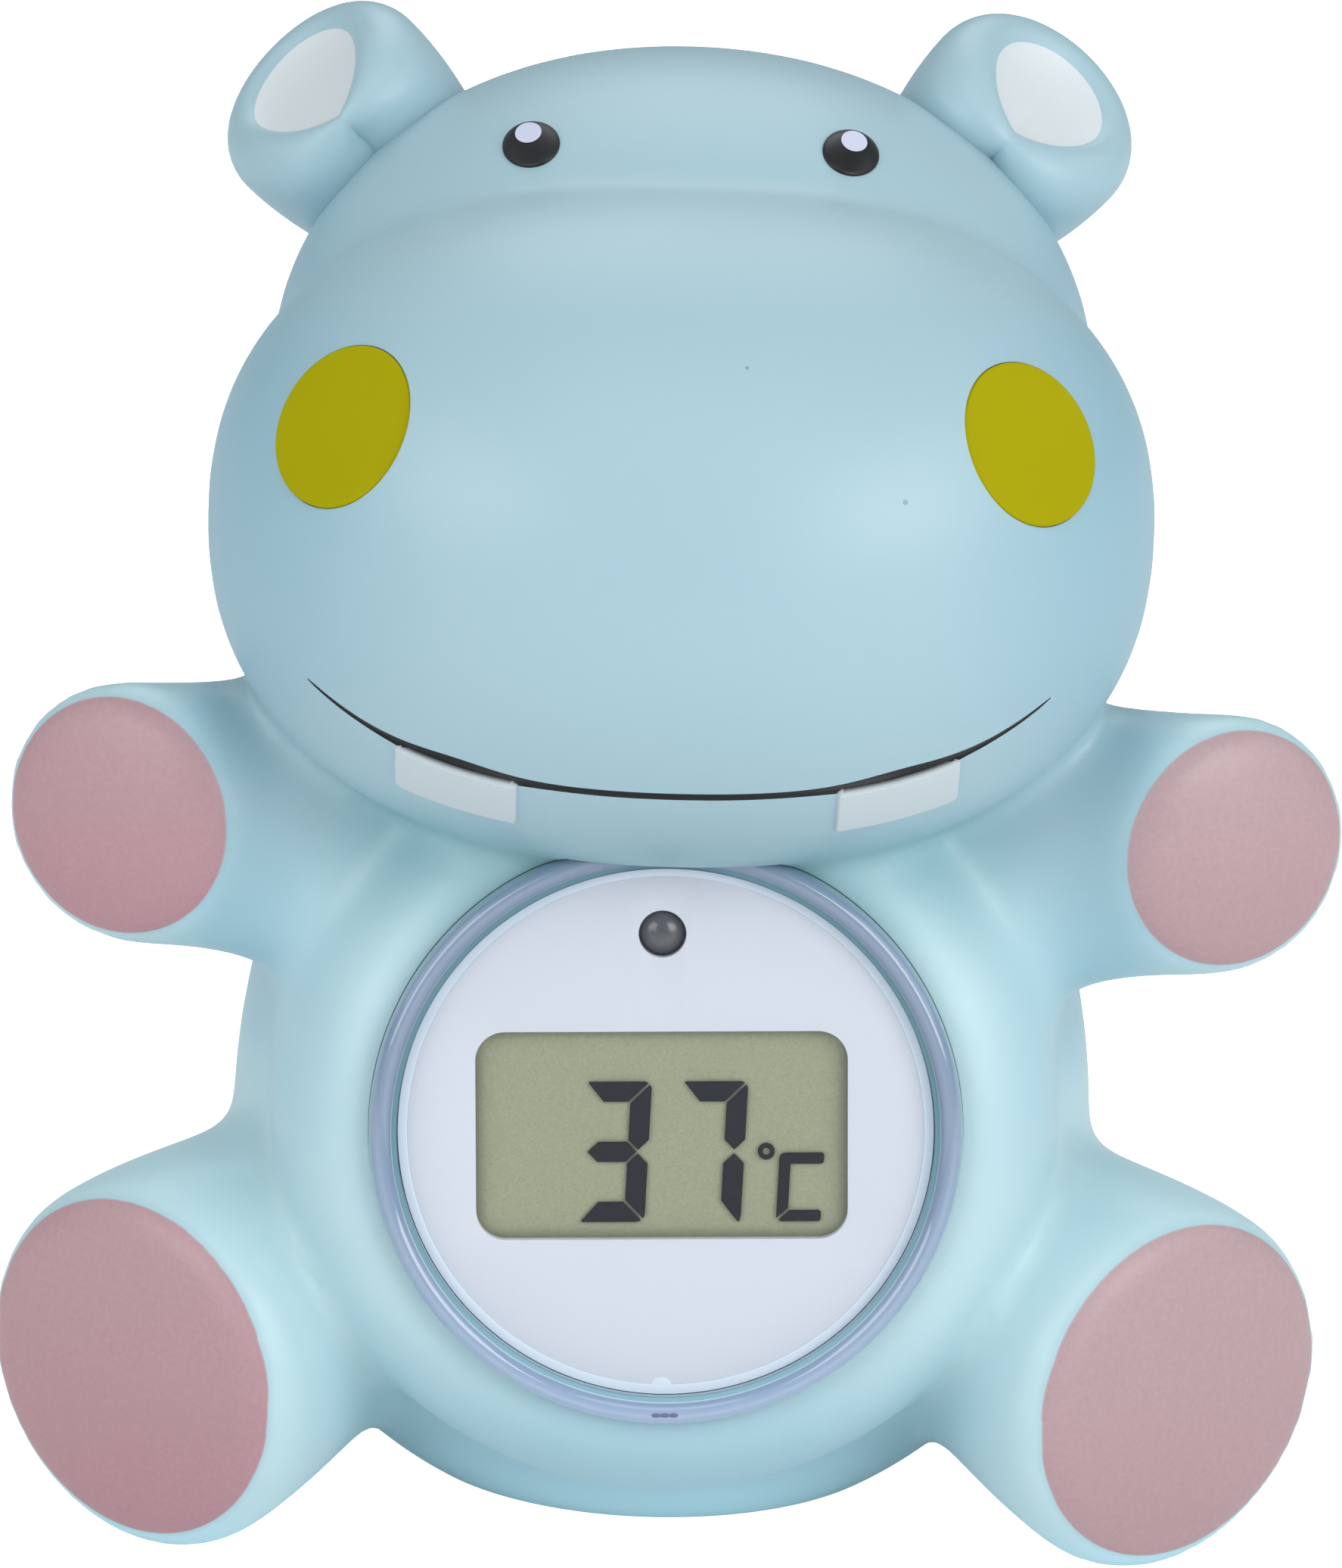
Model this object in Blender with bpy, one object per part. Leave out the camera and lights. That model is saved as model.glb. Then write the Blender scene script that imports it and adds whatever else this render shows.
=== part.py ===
"""Baby bath thermometer: a sitting hippo of soft vinyl with a round thermometer module in its belly.

The figure faces -Y and rests on its seat and legs at z = 0. Lengths are metres.
The module has a frame of its own, whose +Z points out of the belly through the display.
"""
import bmesh
import bpy
from math import cos, pi, radians, sin, sqrt
from mathutils import Matrix, Vector

MM = 0.001

# Fits
CLEARANCE = 0.3 * MM
WALL = 2.6 * MM

# Torso
TORSO_WIDTH = 67.0 * MM
TORSO_DEPTH = 57.0 * MM
TORSO_WAIST_HEIGHT = 25.0 * MM
TORSO_RISE = 50.0 * MM
TORSO_FALL = 30.8 * MM
VENT_DIAMETER = 5.0 * MM
VENT_BACK = 9.0 * MM

# Head, measured up from the torso's top
MUZZLE_WIDTH = 71.0 * MM
MUZZLE_DEPTH = 57.0 * MM
MUZZLE_HEIGHT = 51.0 * MM
MUZZLE_ABOVE_TORSO = 5.2 * MM
MUZZLE_FORWARD = 14.0 * MM
CRANIUM_WIDTH = 64.5 * MM
CRANIUM_DEPTH = 55.0 * MM
CRANIUM_HEIGHT = 52.0 * MM
CRANIUM_ABOVE_MUZZLE = 4.6 * MM
CRANIUM_BACK = 5.0 * MM
EAR_RADIUS = 8.9 * MM
EAR_LENGTH = 17.0 * MM
EAR_ROOT_RADIUS = 7.4 * MM
EAR_EDGE_RADIUS = 2.4 * MM
EAR_SPREAD = 28.3 * MM
EAR_BELOW_TOP = 4.4 * MM
EAR_BACK = 12.3 * MM
EAR_OUT_DEG = 59.0
EAR_UP_DEG = 47.0
EAR_DISH_RADIUS = 4.9 * MM
EAR_DISH_DEPTH = 1.6 * MM

# Face, measured from the middle of the cranium or of the muzzle
EYE_SPREAD = 12.0 * MM
EYE_ABOVE_MIDDLE = 21.9 * MM
EYE_WIDTH = 4.5 * MM
EYE_LENGTH = 5.2 * MM
EYE_PROUD = 0.7 * MM
TOOTH_SPREAD = 16.1 * MM
TOOTH_BELOW_MIDDLE = 13.7 * MM
TOOTH_WIDTH = 9.2 * MM
TOOTH_LENGTH = 5.2 * MM
TOOTH_PROUD = 0.9 * MM
TOOTH_TURN_DEG = 8.0

# Arms and legs, whose ends reach out from the torso's side
ARM_RADIUS = 10.3 * MM
ARM_REACH = 8.8 * MM
ARM_FORWARD = 21.0 * MM
ARM_BELOW_TOP = 17.4 * MM
ARM_PAD_OUT_DEG = 26.0
ARM_PAD_UP_DEG = 4.0
ARM_OUT_DEG = 56.0
ARM_UP_DEG = 9.0
ARM_LENGTH = 26.0 * MM
ARM_ROOT_RADIUS = 11.5 * MM
LEG_RADIUS = 14.6 * MM
LEG_REACH = 6.8 * MM
LEG_FORWARD = 26.3 * MM
LEG_HEIGHT = 14.3 * MM
LEG_OUT_DEG = 36.0
LEG_DOWN_DEG = 5.0
LEG_LENGTH = 30.0 * MM
LEG_ROOT_RADIUS = 12.2 * MM
LIMB_EDGE_RADIUS = 2.2 * MM
LIMB_DOME = 0.8 * MM

# Cheek discs, pressed into round pockets
CHEEK_RADIUS = 6.2 * MM
CHEEK_THICKNESS = 1.6 * MM
CHEEK_PROUD = 0.3 * MM
CHEEK_EDGE = 0.8 * MM
CHEEK_SPREAD = 24.9 * MM
CHEEK_ABOVE_MIDDLE = 11.8 * MM
CHEEK_OUT_DEG = 43.0
CHEEK_UP_DEG = 31.0

# Thermometer module, along its own axis
MODULE_HEIGHT = 37.3 * MM
MODULE_TILT_DEG = 11.0
MODULE_TURN_DEG = 1.7
BELLY_FLAT_PROUD = 0.1 * MM
SEAT_DEPTH = 0.5 * MM
BELLY_EDGE_WIDTH = 7.5 * MM
BELLY_EDGE_DROP = 13.0 * MM
RING_RADIUS = 22.2 * MM
RING_HEIGHT = 2.6 * MM
RING_EDGE_HEIGHT = 0.9 * MM
WINDOW_RADIUS = 19.6 * MM
WINDOW_THICKNESS = 0.8 * MM
WINDOW_FRONT = 1.9 * MM
SKIRT_WALL = 0.9 * MM
SKIRT_LENGTH = 3.0 * MM
HOUSING_WALL = 1.0 * MM
HOUSING_FLOOR = 1.0 * MM
BOARD_LEDGE = 1.4 * MM
GRIP_DEPTH = 0.8 * MM
GRIP_WIDTH = 1.4 * MM
GRIP_BACK = 7.8 * MM
COLLAR_LENGTH = 11.0 * MM
COLLAR_WALL = 2.2 * MM
SEAL_SECTION = 0.9 * MM
FACE_THICKNESS = 0.9 * MM
DISPLAY_WIDTH = 27.8 * MM
DISPLAY_HEIGHT = 15.6 * MM
DISPLAY_CORNER = 2.2 * MM
DISPLAY_BELOW_CENTRE = 0.4 * MM
LCD_MARGIN = 0.6 * MM
LCD_THICKNESS = 1.1 * MM
REFLECTOR_THICKNESS = 0.3 * MM
STRIP_WIDTH = 1.6 * MM
STRIP_HEIGHT = 2.4 * MM
LED_RADIUS = 1.7 * MM
LED_ABOVE_CENTRE = 14.8 * MM
LED_FLANGE_WIDTH = 0.3 * MM
LED_FLANGE_HEIGHT = 1.0 * MM
LED_DOME_FRONT = 0.7 * MM
BOARD_THICKNESS = 1.0 * MM
CHIP_RADIUS = 3.4 * MM
CHIP_HEIGHT = 0.9 * MM
CELL_RADIUS = 5.8 * MM
CELL_THICKNESS = 5.4 * MM
CELL_GAP = 1.0 * MM
CONTACT_THICKNESS = 0.3 * MM
CONTACT_LENGTH = 7.0 * MM
CONTACT_WIDTH = 2.6 * MM
TAB_SHIFT = 1.75 * MM
CARRIER_WALL = 0.9 * MM
CARRIER_ROOF_BACK = 7.3 * MM
DOOR_THICKNESS = 0.8 * MM
DOOR_CORNER = 3.0 * MM
DOOR_RIM = 2.2 * MM
DOOR_SEAL_WIDTH = 1.0 * MM
DOOR_SEAL_THICKNESS = 0.4 * MM
SCREW_RADIUS = 0.8 * MM
SCREW_HEAD_RADIUS = 1.3 * MM
SCREW_LENGTH = 4.6 * MM
SCREW_BOSS_WALL = 0.8 * MM
SENSOR_RADIUS = 2.4 * MM
SENSOR_PROUD = 3.2 * MM
SENSOR_WALL = 0.4 * MM
SENSOR_FLANGE = 0.8 * MM
SENSOR_BELOW_CENTRE = 12.9 * MM
LEAD_RADIUS = 0.35 * MM
BEAD_RATIO = 1.5

# Fineness of the meshes
FUSE_SIZE = 1.5 * MM
FUSE_SMOOTH_STEPS = 5
FUSE_FACE_RATIO = 0.095
CAVITY_SIZE = 2.4 * MM
CAVITY_SMOOTH_STEPS = 3
CAVITY_FACE_RATIO = 0.12
SMOOTH_RATIO = 0.5
ROUND_STEPS = 48
HIDDEN_STEPS = 32
SMALL_STEPS = 16
LIMB_STEPS = 6
EDGE_STEPS = 4
CORNER_STEPS = 6
SEAL_STEPS = 6
DOME_RATIOS = (0.75, 0.5, 0.2)
SHARP_DEG = 35.0
MERGE_DISTANCE = 0.001 * MM

# The figure's places that follow from the ones above
TORSO_TOP = TORSO_WAIST_HEIGHT + TORSO_RISE
MUZZLE_CENTRE_HEIGHT = TORSO_TOP + MUZZLE_ABOVE_TORSO
CRANIUM_CENTRE_HEIGHT = MUZZLE_CENTRE_HEIGHT + CRANIUM_ABOVE_MUZZLE
EAR_HEIGHT = CRANIUM_CENTRE_HEIGHT + CRANIUM_HEIGHT / 2 - EAR_BELOW_TOP
EYE_HEIGHT = CRANIUM_CENTRE_HEIGHT + EYE_ABOVE_MIDDLE
TOOTH_HEIGHT = MUZZLE_CENTRE_HEIGHT - TOOTH_BELOW_MIDDLE
CHEEK_HEIGHT = MUZZLE_CENTRE_HEIGHT + CHEEK_ABOVE_MIDDLE
ARM_SPREAD = TORSO_WIDTH / 2 + ARM_REACH
ARM_HEIGHT = TORSO_TOP - ARM_BELOW_TOP
LEG_SPREAD = TORSO_WIDTH / 2 + LEG_REACH
BELLY_FLAT_FORWARD = TORSO_DEPTH / 2 + BELLY_FLAT_PROUD

# The module's heights and sizes that follow from the ones above, along its own axis
HOUSING_RADIUS = WINDOW_RADIUS + SKIRT_WALL
DISPLAY_MIDDLE = (0.0, -DISPLAY_BELOW_CENTRE)
FACE_FRONT = WINDOW_FRONT - WINDOW_THICKNESS - CLEARANCE
FACE_BACK = FACE_FRONT - FACE_THICKNESS
NECK_FRONT = FACE_BACK - CLEARANCE
LCD_FRONT = FACE_BACK - CLEARANCE
BOARD_FRONT = LCD_FRONT - LCD_THICKNESS - 2 * CLEARANCE - STRIP_HEIGHT
BOARD_BACK = BOARD_FRONT - BOARD_THICKNESS
FRAME_BACK = BOARD_FRONT + CLEARANCE
FRAME_RADIUS = WINDOW_RADIUS - HOUSING_WALL - 2 * CLEARANCE
CELL_SPREAD = CELL_RADIUS + CELL_GAP / 2
CARRIER_LENGTH = 2 * (CELL_SPREAD + CELL_RADIUS + CLEARANCE + CARRIER_WALL)
CARRIER_HEIGHT = 2 * (CELL_RADIUS + CLEARANCE + CARRIER_WALL)
CARRIER_DEPTH = CARRIER_WALL + CELL_THICKNESS + 2 * CONTACT_THICKNESS + 3 * CLEARANCE
CARRIER_BACK = -CARRIER_ROOF_BACK - CARRIER_DEPTH
HOUSING_INSIDE = CARRIER_BACK - CLEARANCE
RECESS_FLOOR = HOUSING_INSIDE - HOUSING_FLOOR
HOUSING_BACK = -RECESS_FLOOR + DOOR_SEAL_THICKNESS + 2 * CLEARANCE + DOOR_THICKNESS
PLUG_WIDTH = 2 * (CELL_SPREAD + CELL_RADIUS) + CLEARANCE
PLUG_HEIGHT = 2 * CELL_RADIUS + CLEARANCE
BOSS_RADIUS = SCREW_RADIUS + CLEARANCE + SCREW_BOSS_WALL
SCREW_SPREAD = max(CARRIER_LENGTH / 2 + CLEARANCE + BOSS_RADIUS,
                   PLUG_WIDTH / 2 + 2 * CLEARANCE + DOOR_SEAL_WIDTH + SCREW_HEAD_RADIUS)
DOOR_WIDTH = 2 * (SCREW_SPREAD + SCREW_HEAD_RADIUS + CLEARANCE)
DOOR_HEIGHT = PLUG_HEIGHT + 2 * DOOR_RIM
BOSS_FRONT = -HOUSING_BACK + 2 * CLEARANCE + SCREW_LENGTH + SCREW_BOSS_WALL


def clear_scene():
    for thing in list(bpy.data.objects):
        bpy.data.objects.remove(thing)


def material(name, colour, roughness, metallic=0.0, transmission=0.0):
    """A plain finish with the colour, roughness and metal of the real piece."""
    made = bpy.data.materials.new(name)
    made.use_nodes = True
    shader = made.node_tree.nodes["Principled BSDF"]
    shader.inputs["Base Color"].default_value = (*colour, 1.0)
    shader.inputs["Roughness"].default_value = roughness
    shader.inputs["Metallic"].default_value = metallic
    shader.inputs["Transmission Weight"].default_value = transmission
    return made


def new_object(name, shape, finish=None, place=None, parent=None):
    """One object from a bmesh, with its faces pointing outwards and its round sides smooth."""
    bmesh.ops.recalc_face_normals(shape, faces=shape.faces)
    mesh = bpy.data.meshes.new(name)
    shape.to_mesh(mesh)
    shape.free()
    mesh.shade_smooth()
    mesh.set_sharp_from_angle(angle=radians(SHARP_DEG))
    made = bpy.data.objects.new(name, mesh)
    bpy.context.scene.collection.objects.link(made)
    if finish is not None:
        mesh.materials.append(finish)
    if place is not None:
        made.matrix_basis = place
    made.parent = parent
    return made


def as_cutter(thing):
    thing.hide_render = True
    thing.display_type = 'WIRE'
    return thing


def combine(target, other, how):
    """Cut, join or intersect one object with another."""
    step = target.modifiers.new(how.title() + " " + other.name, 'BOOLEAN')
    step.object = other
    step.operation = how
    step.solver = 'EXACT'
    return step


def direction(out_deg, up_deg, side):
    """Unit vector turned outwards from straight ahead (-Y) and upwards."""
    out, up = radians(out_deg), radians(up_deg)
    return Vector((side * sin(out) * cos(up), -cos(out) * cos(up), sin(up)))


def facing(point, normal):
    """Placement with its origin at a point and its +Z along a normal."""
    forward = Vector(normal).normalized()
    across = Vector((0, 0, 1)).cross(forward).normalized()
    upward = forward.cross(across)
    turn = Matrix((across, upward, forward)).transposed().to_4x4()
    return Matrix.Translation(Vector(point)) @ turn


# Shapes shared by several pieces

def add_ellipsoid(shape, centre, radii, segments=ROUND_STEPS, lower=None):
    """A ball stretched to three radii, with a separate radius below its middle if one is given."""
    placed = Matrix.LocRotScale(Vector(centre), None, Vector(radii))
    made = bmesh.ops.create_uvsphere(shape, u_segments=segments, v_segments=segments // 2,
                                     radius=1.0, matrix=placed)
    if lower is not None:
        for point in made["verts"]:
            if point.co.z < centre[2]:
                point.co.z = centre[2] + (point.co.z - centre[2]) * lower / radii[2]


def add_loft(shape, stations, steps=HIDDEN_STEPS):
    """A closed skin through round stations, each a centre, a normal and a radius."""
    rings = []
    for centre, normal, radius in stations:
        placed = facing(centre, normal)
        ring = bmesh.ops.create_circle(shape, segments=steps, radius=radius, matrix=placed)
        rings.append(ring["verts"])
    for lower, upper in zip(rings, rings[1:]):
        for index in range(steps):
            after = (index + 1) % steps
            shape.faces.new((lower[index], lower[after], upper[after], upper[index]))
    shape.faces.new(list(reversed(rings[0])))
    shape.faces.new(rings[-1])


def limb_stations(root, root_axis, root_radius, tip, tip_axis, tip_radius, shrink=0.0):
    """Stations of a stubby limb, from inside the torso to its rounded, slightly domed end."""
    rim = tip - tip_axis * (LIMB_EDGE_RADIUS + LIMB_DOME)
    stations = []
    for index in range(LIMB_STEPS):
        along = index / LIMB_STEPS
        blend = along * along * (3 - 2 * along)
        axis = root_axis.lerp(tip_axis, blend).normalized()
        radius = root_radius + (tip_radius - root_radius) * blend
        stations.append((root.lerp(rim, along), axis, radius - shrink))
    if shrink:
        stations.append((rim - tip_axis * shrink, tip_axis, tip_radius - shrink))
        return stations
    flat_radius = tip_radius - LIMB_EDGE_RADIUS
    for index in range(EDGE_STEPS + 1):
        angle = pi / 2 * index / EDGE_STEPS
        centre = rim + tip_axis * LIMB_EDGE_RADIUS * sin(angle)
        stations.append((centre, tip_axis, flat_radius + LIMB_EDGE_RADIUS * cos(angle)))
    for share in DOME_RATIOS:
        stations.append((tip - tip_axis * LIMB_DOME * share * share, tip_axis, flat_radius * share))
    return stations


def add_turned(shape, outline, steps=ROUND_STEPS):
    """A turned solid from (radius, height) points, closed on the axis or round a ring."""
    points = [shape.verts.new((radius, 0.0, height)) for radius, height in outline]
    on_axis = outline[0][0] == 0.0 and outline[-1][0] == 0.0
    pairs = list(zip(points, points[1:]))
    if not on_axis:
        pairs.append((points[-1], points[0]))
    edges = [shape.edges.new(pair) for pair in pairs]
    bmesh.ops.spin(shape, geom=points + edges, cent=(0, 0, 0), axis=(0, 0, 1), dvec=(0, 0, 0),
                   angle=2 * pi, steps=steps, use_merge=True)
    bmesh.ops.remove_doubles(shape, verts=shape.verts, dist=MERGE_DISTANCE)


def turned(name, outline, finish=None, place=None, parent=None, steps=ROUND_STEPS):
    shape = bmesh.new()
    add_turned(shape, outline, steps)
    return new_object(name, shape, finish, place, parent)


def disc(name, radius, low, high, finish=None, place=None, parent=None, steps=ROUND_STEPS):
    """A plain round plate between two heights."""
    outline = [(0.0, high), (radius, high), (radius, low), (0.0, low)]
    return turned(name, outline, finish, place, parent, steps)


def plate(name, width, height, low, high, corner=0.0, centre=(0.0, 0.0), finish=None, parent=None):
    """A plate with rounded corners, lying across the module's axis."""
    shape = bmesh.new()
    corner_steps = CORNER_STEPS if corner else 0
    points = []
    for quarter, (sign_x, sign_y) in enumerate(((1, 1), (-1, 1), (-1, -1), (1, -1))):
        middle_x = centre[0] + sign_x * (width / 2 - corner)
        middle_y = centre[1] + sign_y * (height / 2 - corner)
        for index in range(corner_steps + 1):
            angle = pi / 2 * (quarter + index / max(corner_steps, 1))
            points.append((middle_x + corner * cos(angle), middle_y + corner * sin(angle)))
    base = shape.faces.new([shape.verts.new((x, y, low)) for x, y in points])
    raised = bmesh.ops.extrude_face_region(shape, geom=[base])["geom"]
    for point in raised:
        if isinstance(point, bmesh.types.BMVert):
            point.co.z = high
    return new_object(name, shape, finish, None, parent)


# The figure

def limb_frames(side):
    """Root and tip of the arm and the leg on one side, with their axes and radii."""
    arm_tip = Vector((side * ARM_SPREAD, -ARM_FORWARD, ARM_HEIGHT))
    arm_axis = direction(ARM_OUT_DEG, ARM_UP_DEG, side)
    arm_pad = direction(ARM_PAD_OUT_DEG, ARM_PAD_UP_DEG, side)
    leg_tip = Vector((side * LEG_SPREAD, -LEG_FORWARD, LEG_HEIGHT))
    leg_axis = direction(LEG_OUT_DEG, -LEG_DOWN_DEG, side)
    leg_pad = direction(LEG_OUT_DEG, 0.0, side)
    arm = (arm_tip - arm_axis * ARM_LENGTH, arm_axis, ARM_ROOT_RADIUS, arm_tip, arm_pad, ARM_RADIUS)
    leg = (leg_tip - leg_axis * LEG_LENGTH, leg_axis, LEG_ROOT_RADIUS, leg_tip, leg_pad, LEG_RADIUS)
    return arm, leg


def add_figure(shape, shrink=0.0):
    """Torso, muzzle, cranium, arms and legs as overlapping closed skins, smaller by a wall if asked."""
    torso_centre = (0.0, 0.0, TORSO_WAIST_HEIGHT)
    torso_radii = (TORSO_WIDTH / 2 - shrink, TORSO_DEPTH / 2 - shrink, TORSO_RISE - shrink)
    add_ellipsoid(shape, torso_centre, torso_radii, lower=TORSO_FALL - shrink)
    muzzle_centre = (0.0, -MUZZLE_FORWARD, MUZZLE_CENTRE_HEIGHT)
    muzzle_sizes = (MUZZLE_WIDTH, MUZZLE_DEPTH, MUZZLE_HEIGHT)
    add_ellipsoid(shape, muzzle_centre, [size / 2 - shrink for size in muzzle_sizes])
    cranium_centre = (0.0, CRANIUM_BACK, CRANIUM_CENTRE_HEIGHT)
    cranium_sizes = (CRANIUM_WIDTH, CRANIUM_DEPTH, CRANIUM_HEIGHT)
    add_ellipsoid(shape, cranium_centre, [size / 2 - shrink for size in cranium_sizes])
    for side in (-1, 1):
        for limb in limb_frames(side):
            add_loft(shape, limb_stations(*limb, shrink=shrink))


def module_placement():
    """The module's frame: origin at the belly's flat, +Z out through the display."""
    outward = direction(0.0, MODULE_TILT_DEG, 1)
    seat = Vector((0.0, -BELLY_FLAT_FORWARD, MODULE_HEIGHT))
    return facing(seat, outward) @ Matrix.Rotation(radians(MODULE_TURN_DEG), 4, 'Z')


def belly_outline():
    """Side of the flattened belly round the module, from its front back into the torso."""
    flat_radius = RING_RADIUS + CLEARANCE
    points = [(0.0, SEAT_DEPTH), (flat_radius, SEAT_DEPTH)]
    for index in range(1, 2 * EDGE_STEPS + 1):
        angle = pi / 4 * index / EDGE_STEPS
        radius = flat_radius + BELLY_EDGE_WIDTH * sin(angle)
        points.append((radius, SEAT_DEPTH - BELLY_EDGE_DROP * (1 - cos(angle))))
    points.append((flat_radius + BELLY_EDGE_WIDTH, -TORSO_DEPTH / 2))
    points.append((0.0, -TORSO_DEPTH / 2))
    return points


def smoothed_solid(thing, voxel, smooth_steps, face_ratio):
    """Fuse overlapping skins into one, round their creases and thin the mesh."""
    fuse = thing.modifiers.new("Fuse", 'REMESH')
    fuse.mode = 'VOXEL'
    fuse.voxel_size = voxel
    soften = thing.modifiers.new("Soften", 'SMOOTH')
    soften.factor = SMOOTH_RATIO
    soften.iterations = smooth_steps
    thin = thing.modifiers.new("Thin", 'DECIMATE')
    thin.ratio = face_ratio


def ear(side):
    """A stubby round ear that points up and outwards, with a shallow dish in its end."""
    axis = direction(EAR_OUT_DEG, EAR_UP_DEG, side)
    tip = Vector((side * EAR_SPREAD, EAR_BACK, EAR_HEIGHT))
    flat_radius = EAR_RADIUS - EAR_EDGE_RADIUS
    stations = [(tip - axis * EAR_LENGTH, axis, EAR_ROOT_RADIUS)]
    for index in range(EDGE_STEPS + 1):
        angle = pi / 2 * index / EDGE_STEPS
        centre = tip - axis * EAR_EDGE_RADIUS * (1 - sin(angle))
        stations.append((centre, axis, flat_radius + EAR_EDGE_RADIUS * cos(angle)))
    shape = bmesh.new()
    add_loft(shape, stations, SMALL_STEPS)
    name = "left_ear" if side < 0 else "right_ear"
    made = as_cutter(new_object(name, shape))
    dish = bmesh.new()
    bowl = (EAR_DISH_RADIUS ** 2 + EAR_DISH_DEPTH ** 2) / (2 * EAR_DISH_DEPTH)
    add_ellipsoid(dish, (0, 0, bowl - EAR_DISH_DEPTH), (bowl, bowl, bowl), segments=SMALL_STEPS)
    cutter = as_cutter(new_object(name + "_dish", dish, None, facing(tip, axis)))
    combine(made, cutter, 'DIFFERENCE')
    return made


def cheek_placement(side):
    """Frame of a cheek disc on the muzzle, +Z out of the skin."""
    radii = Vector((MUZZLE_WIDTH, MUZZLE_DEPTH, MUZZLE_HEIGHT)) / 2
    across = side * CHEEK_SPREAD
    rise = CHEEK_HEIGHT - MUZZLE_CENTRE_HEIGHT
    left_over = 1 - (across / radii.x) ** 2 - (rise / radii.z) ** 2
    forward = radii.y * sqrt(max(left_over, 0.0))
    point = Vector((across, -MUZZLE_FORWARD - forward, CHEEK_HEIGHT))
    return facing(point, direction(CHEEK_OUT_DEG, CHEEK_UP_DEG, side))


def cheek_outline(grow=0.0):
    """Section of a cheek disc with a rounded front edge, or of its pocket."""
    radius = CHEEK_RADIUS + grow
    front = CHEEK_PROUD
    back = CHEEK_PROUD - CHEEK_THICKNESS - grow
    if grow:
        return [(0.0, WALL), (radius, WALL), (radius, back), (0.0, back)]
    points = [(0.0, front)]
    for index in range(EDGE_STEPS + 1):
        angle = pi / 2 * index / EDGE_STEPS
        points.append((radius - CHEEK_EDGE * (1 - sin(angle)), front - CHEEK_EDGE * (1 - cos(angle))))
    return points + [(radius, back), (0.0, back)]


def on_ellipsoid(centre, radii, across, height):
    """Point on the front of a ball and the normal there, from its sideways place and its height."""
    rise = height - centre[2]
    left_over = 1 - (across / radii[0]) ** 2 - (rise / radii[2]) ** 2
    forward = radii[1] * sqrt(max(left_over, 0.0))
    normal = Vector((across / radii[0] ** 2, -forward / radii[1] ** 2, rise / radii[2] ** 2))
    return Vector((across, centre[1] - forward, height)), normal.normalized()


def eye(side):
    """A low oval dome on the forehead."""
    centre = (0.0, CRANIUM_BACK, CRANIUM_CENTRE_HEIGHT)
    radii = (CRANIUM_WIDTH / 2, CRANIUM_DEPTH / 2, CRANIUM_HEIGHT / 2)
    point, normal = on_ellipsoid(centre, radii, side * EYE_SPREAD, EYE_HEIGHT)
    shape = bmesh.new()
    add_ellipsoid(shape, (0, 0, 0), (EYE_WIDTH / 2, EYE_LENGTH / 2, EYE_PROUD), segments=SMALL_STEPS)
    name = "left_eye" if side < 0 else "right_eye"
    return as_cutter(new_object(name, shape, None, facing(point, normal)))


def tooth(side):
    """A flat tooth that stands just proud of the muzzle, below the mouth line."""
    centre = (0.0, -MUZZLE_FORWARD, MUZZLE_CENTRE_HEIGHT)
    radii = (MUZZLE_WIDTH / 2, MUZZLE_DEPTH / 2, MUZZLE_HEIGHT / 2)
    point, normal = on_ellipsoid(centre, radii, side * TOOTH_SPREAD, TOOTH_HEIGHT)
    shape = bmesh.new()
    size = Matrix.LocRotScale(None, None, Vector((TOOTH_WIDTH, TOOTH_LENGTH, 2 * TOOTH_PROUD)))
    bmesh.ops.create_cube(shape, size=1.0, matrix=size)
    place = facing(point, normal) @ Matrix.Rotation(side * radians(TOOTH_TURN_DEG), 4, 'Z')
    return as_cutter(new_object("left_tooth" if side < 0 else "right_tooth", shape, None, place))


def slab(name, low, high):
    """A block much wider than the figure, between two heights."""
    shape = bmesh.new()
    reach = 2 * (TORSO_WIDTH + MUZZLE_WIDTH)
    middle = Vector((0.0, 0.0, (low + high) / 2))
    place = Matrix.LocRotScale(middle, None, Vector((reach, reach, high - low)))
    bmesh.ops.create_cube(shape, size=1.0, matrix=place)
    return as_cutter(new_object(name, shape))


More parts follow.
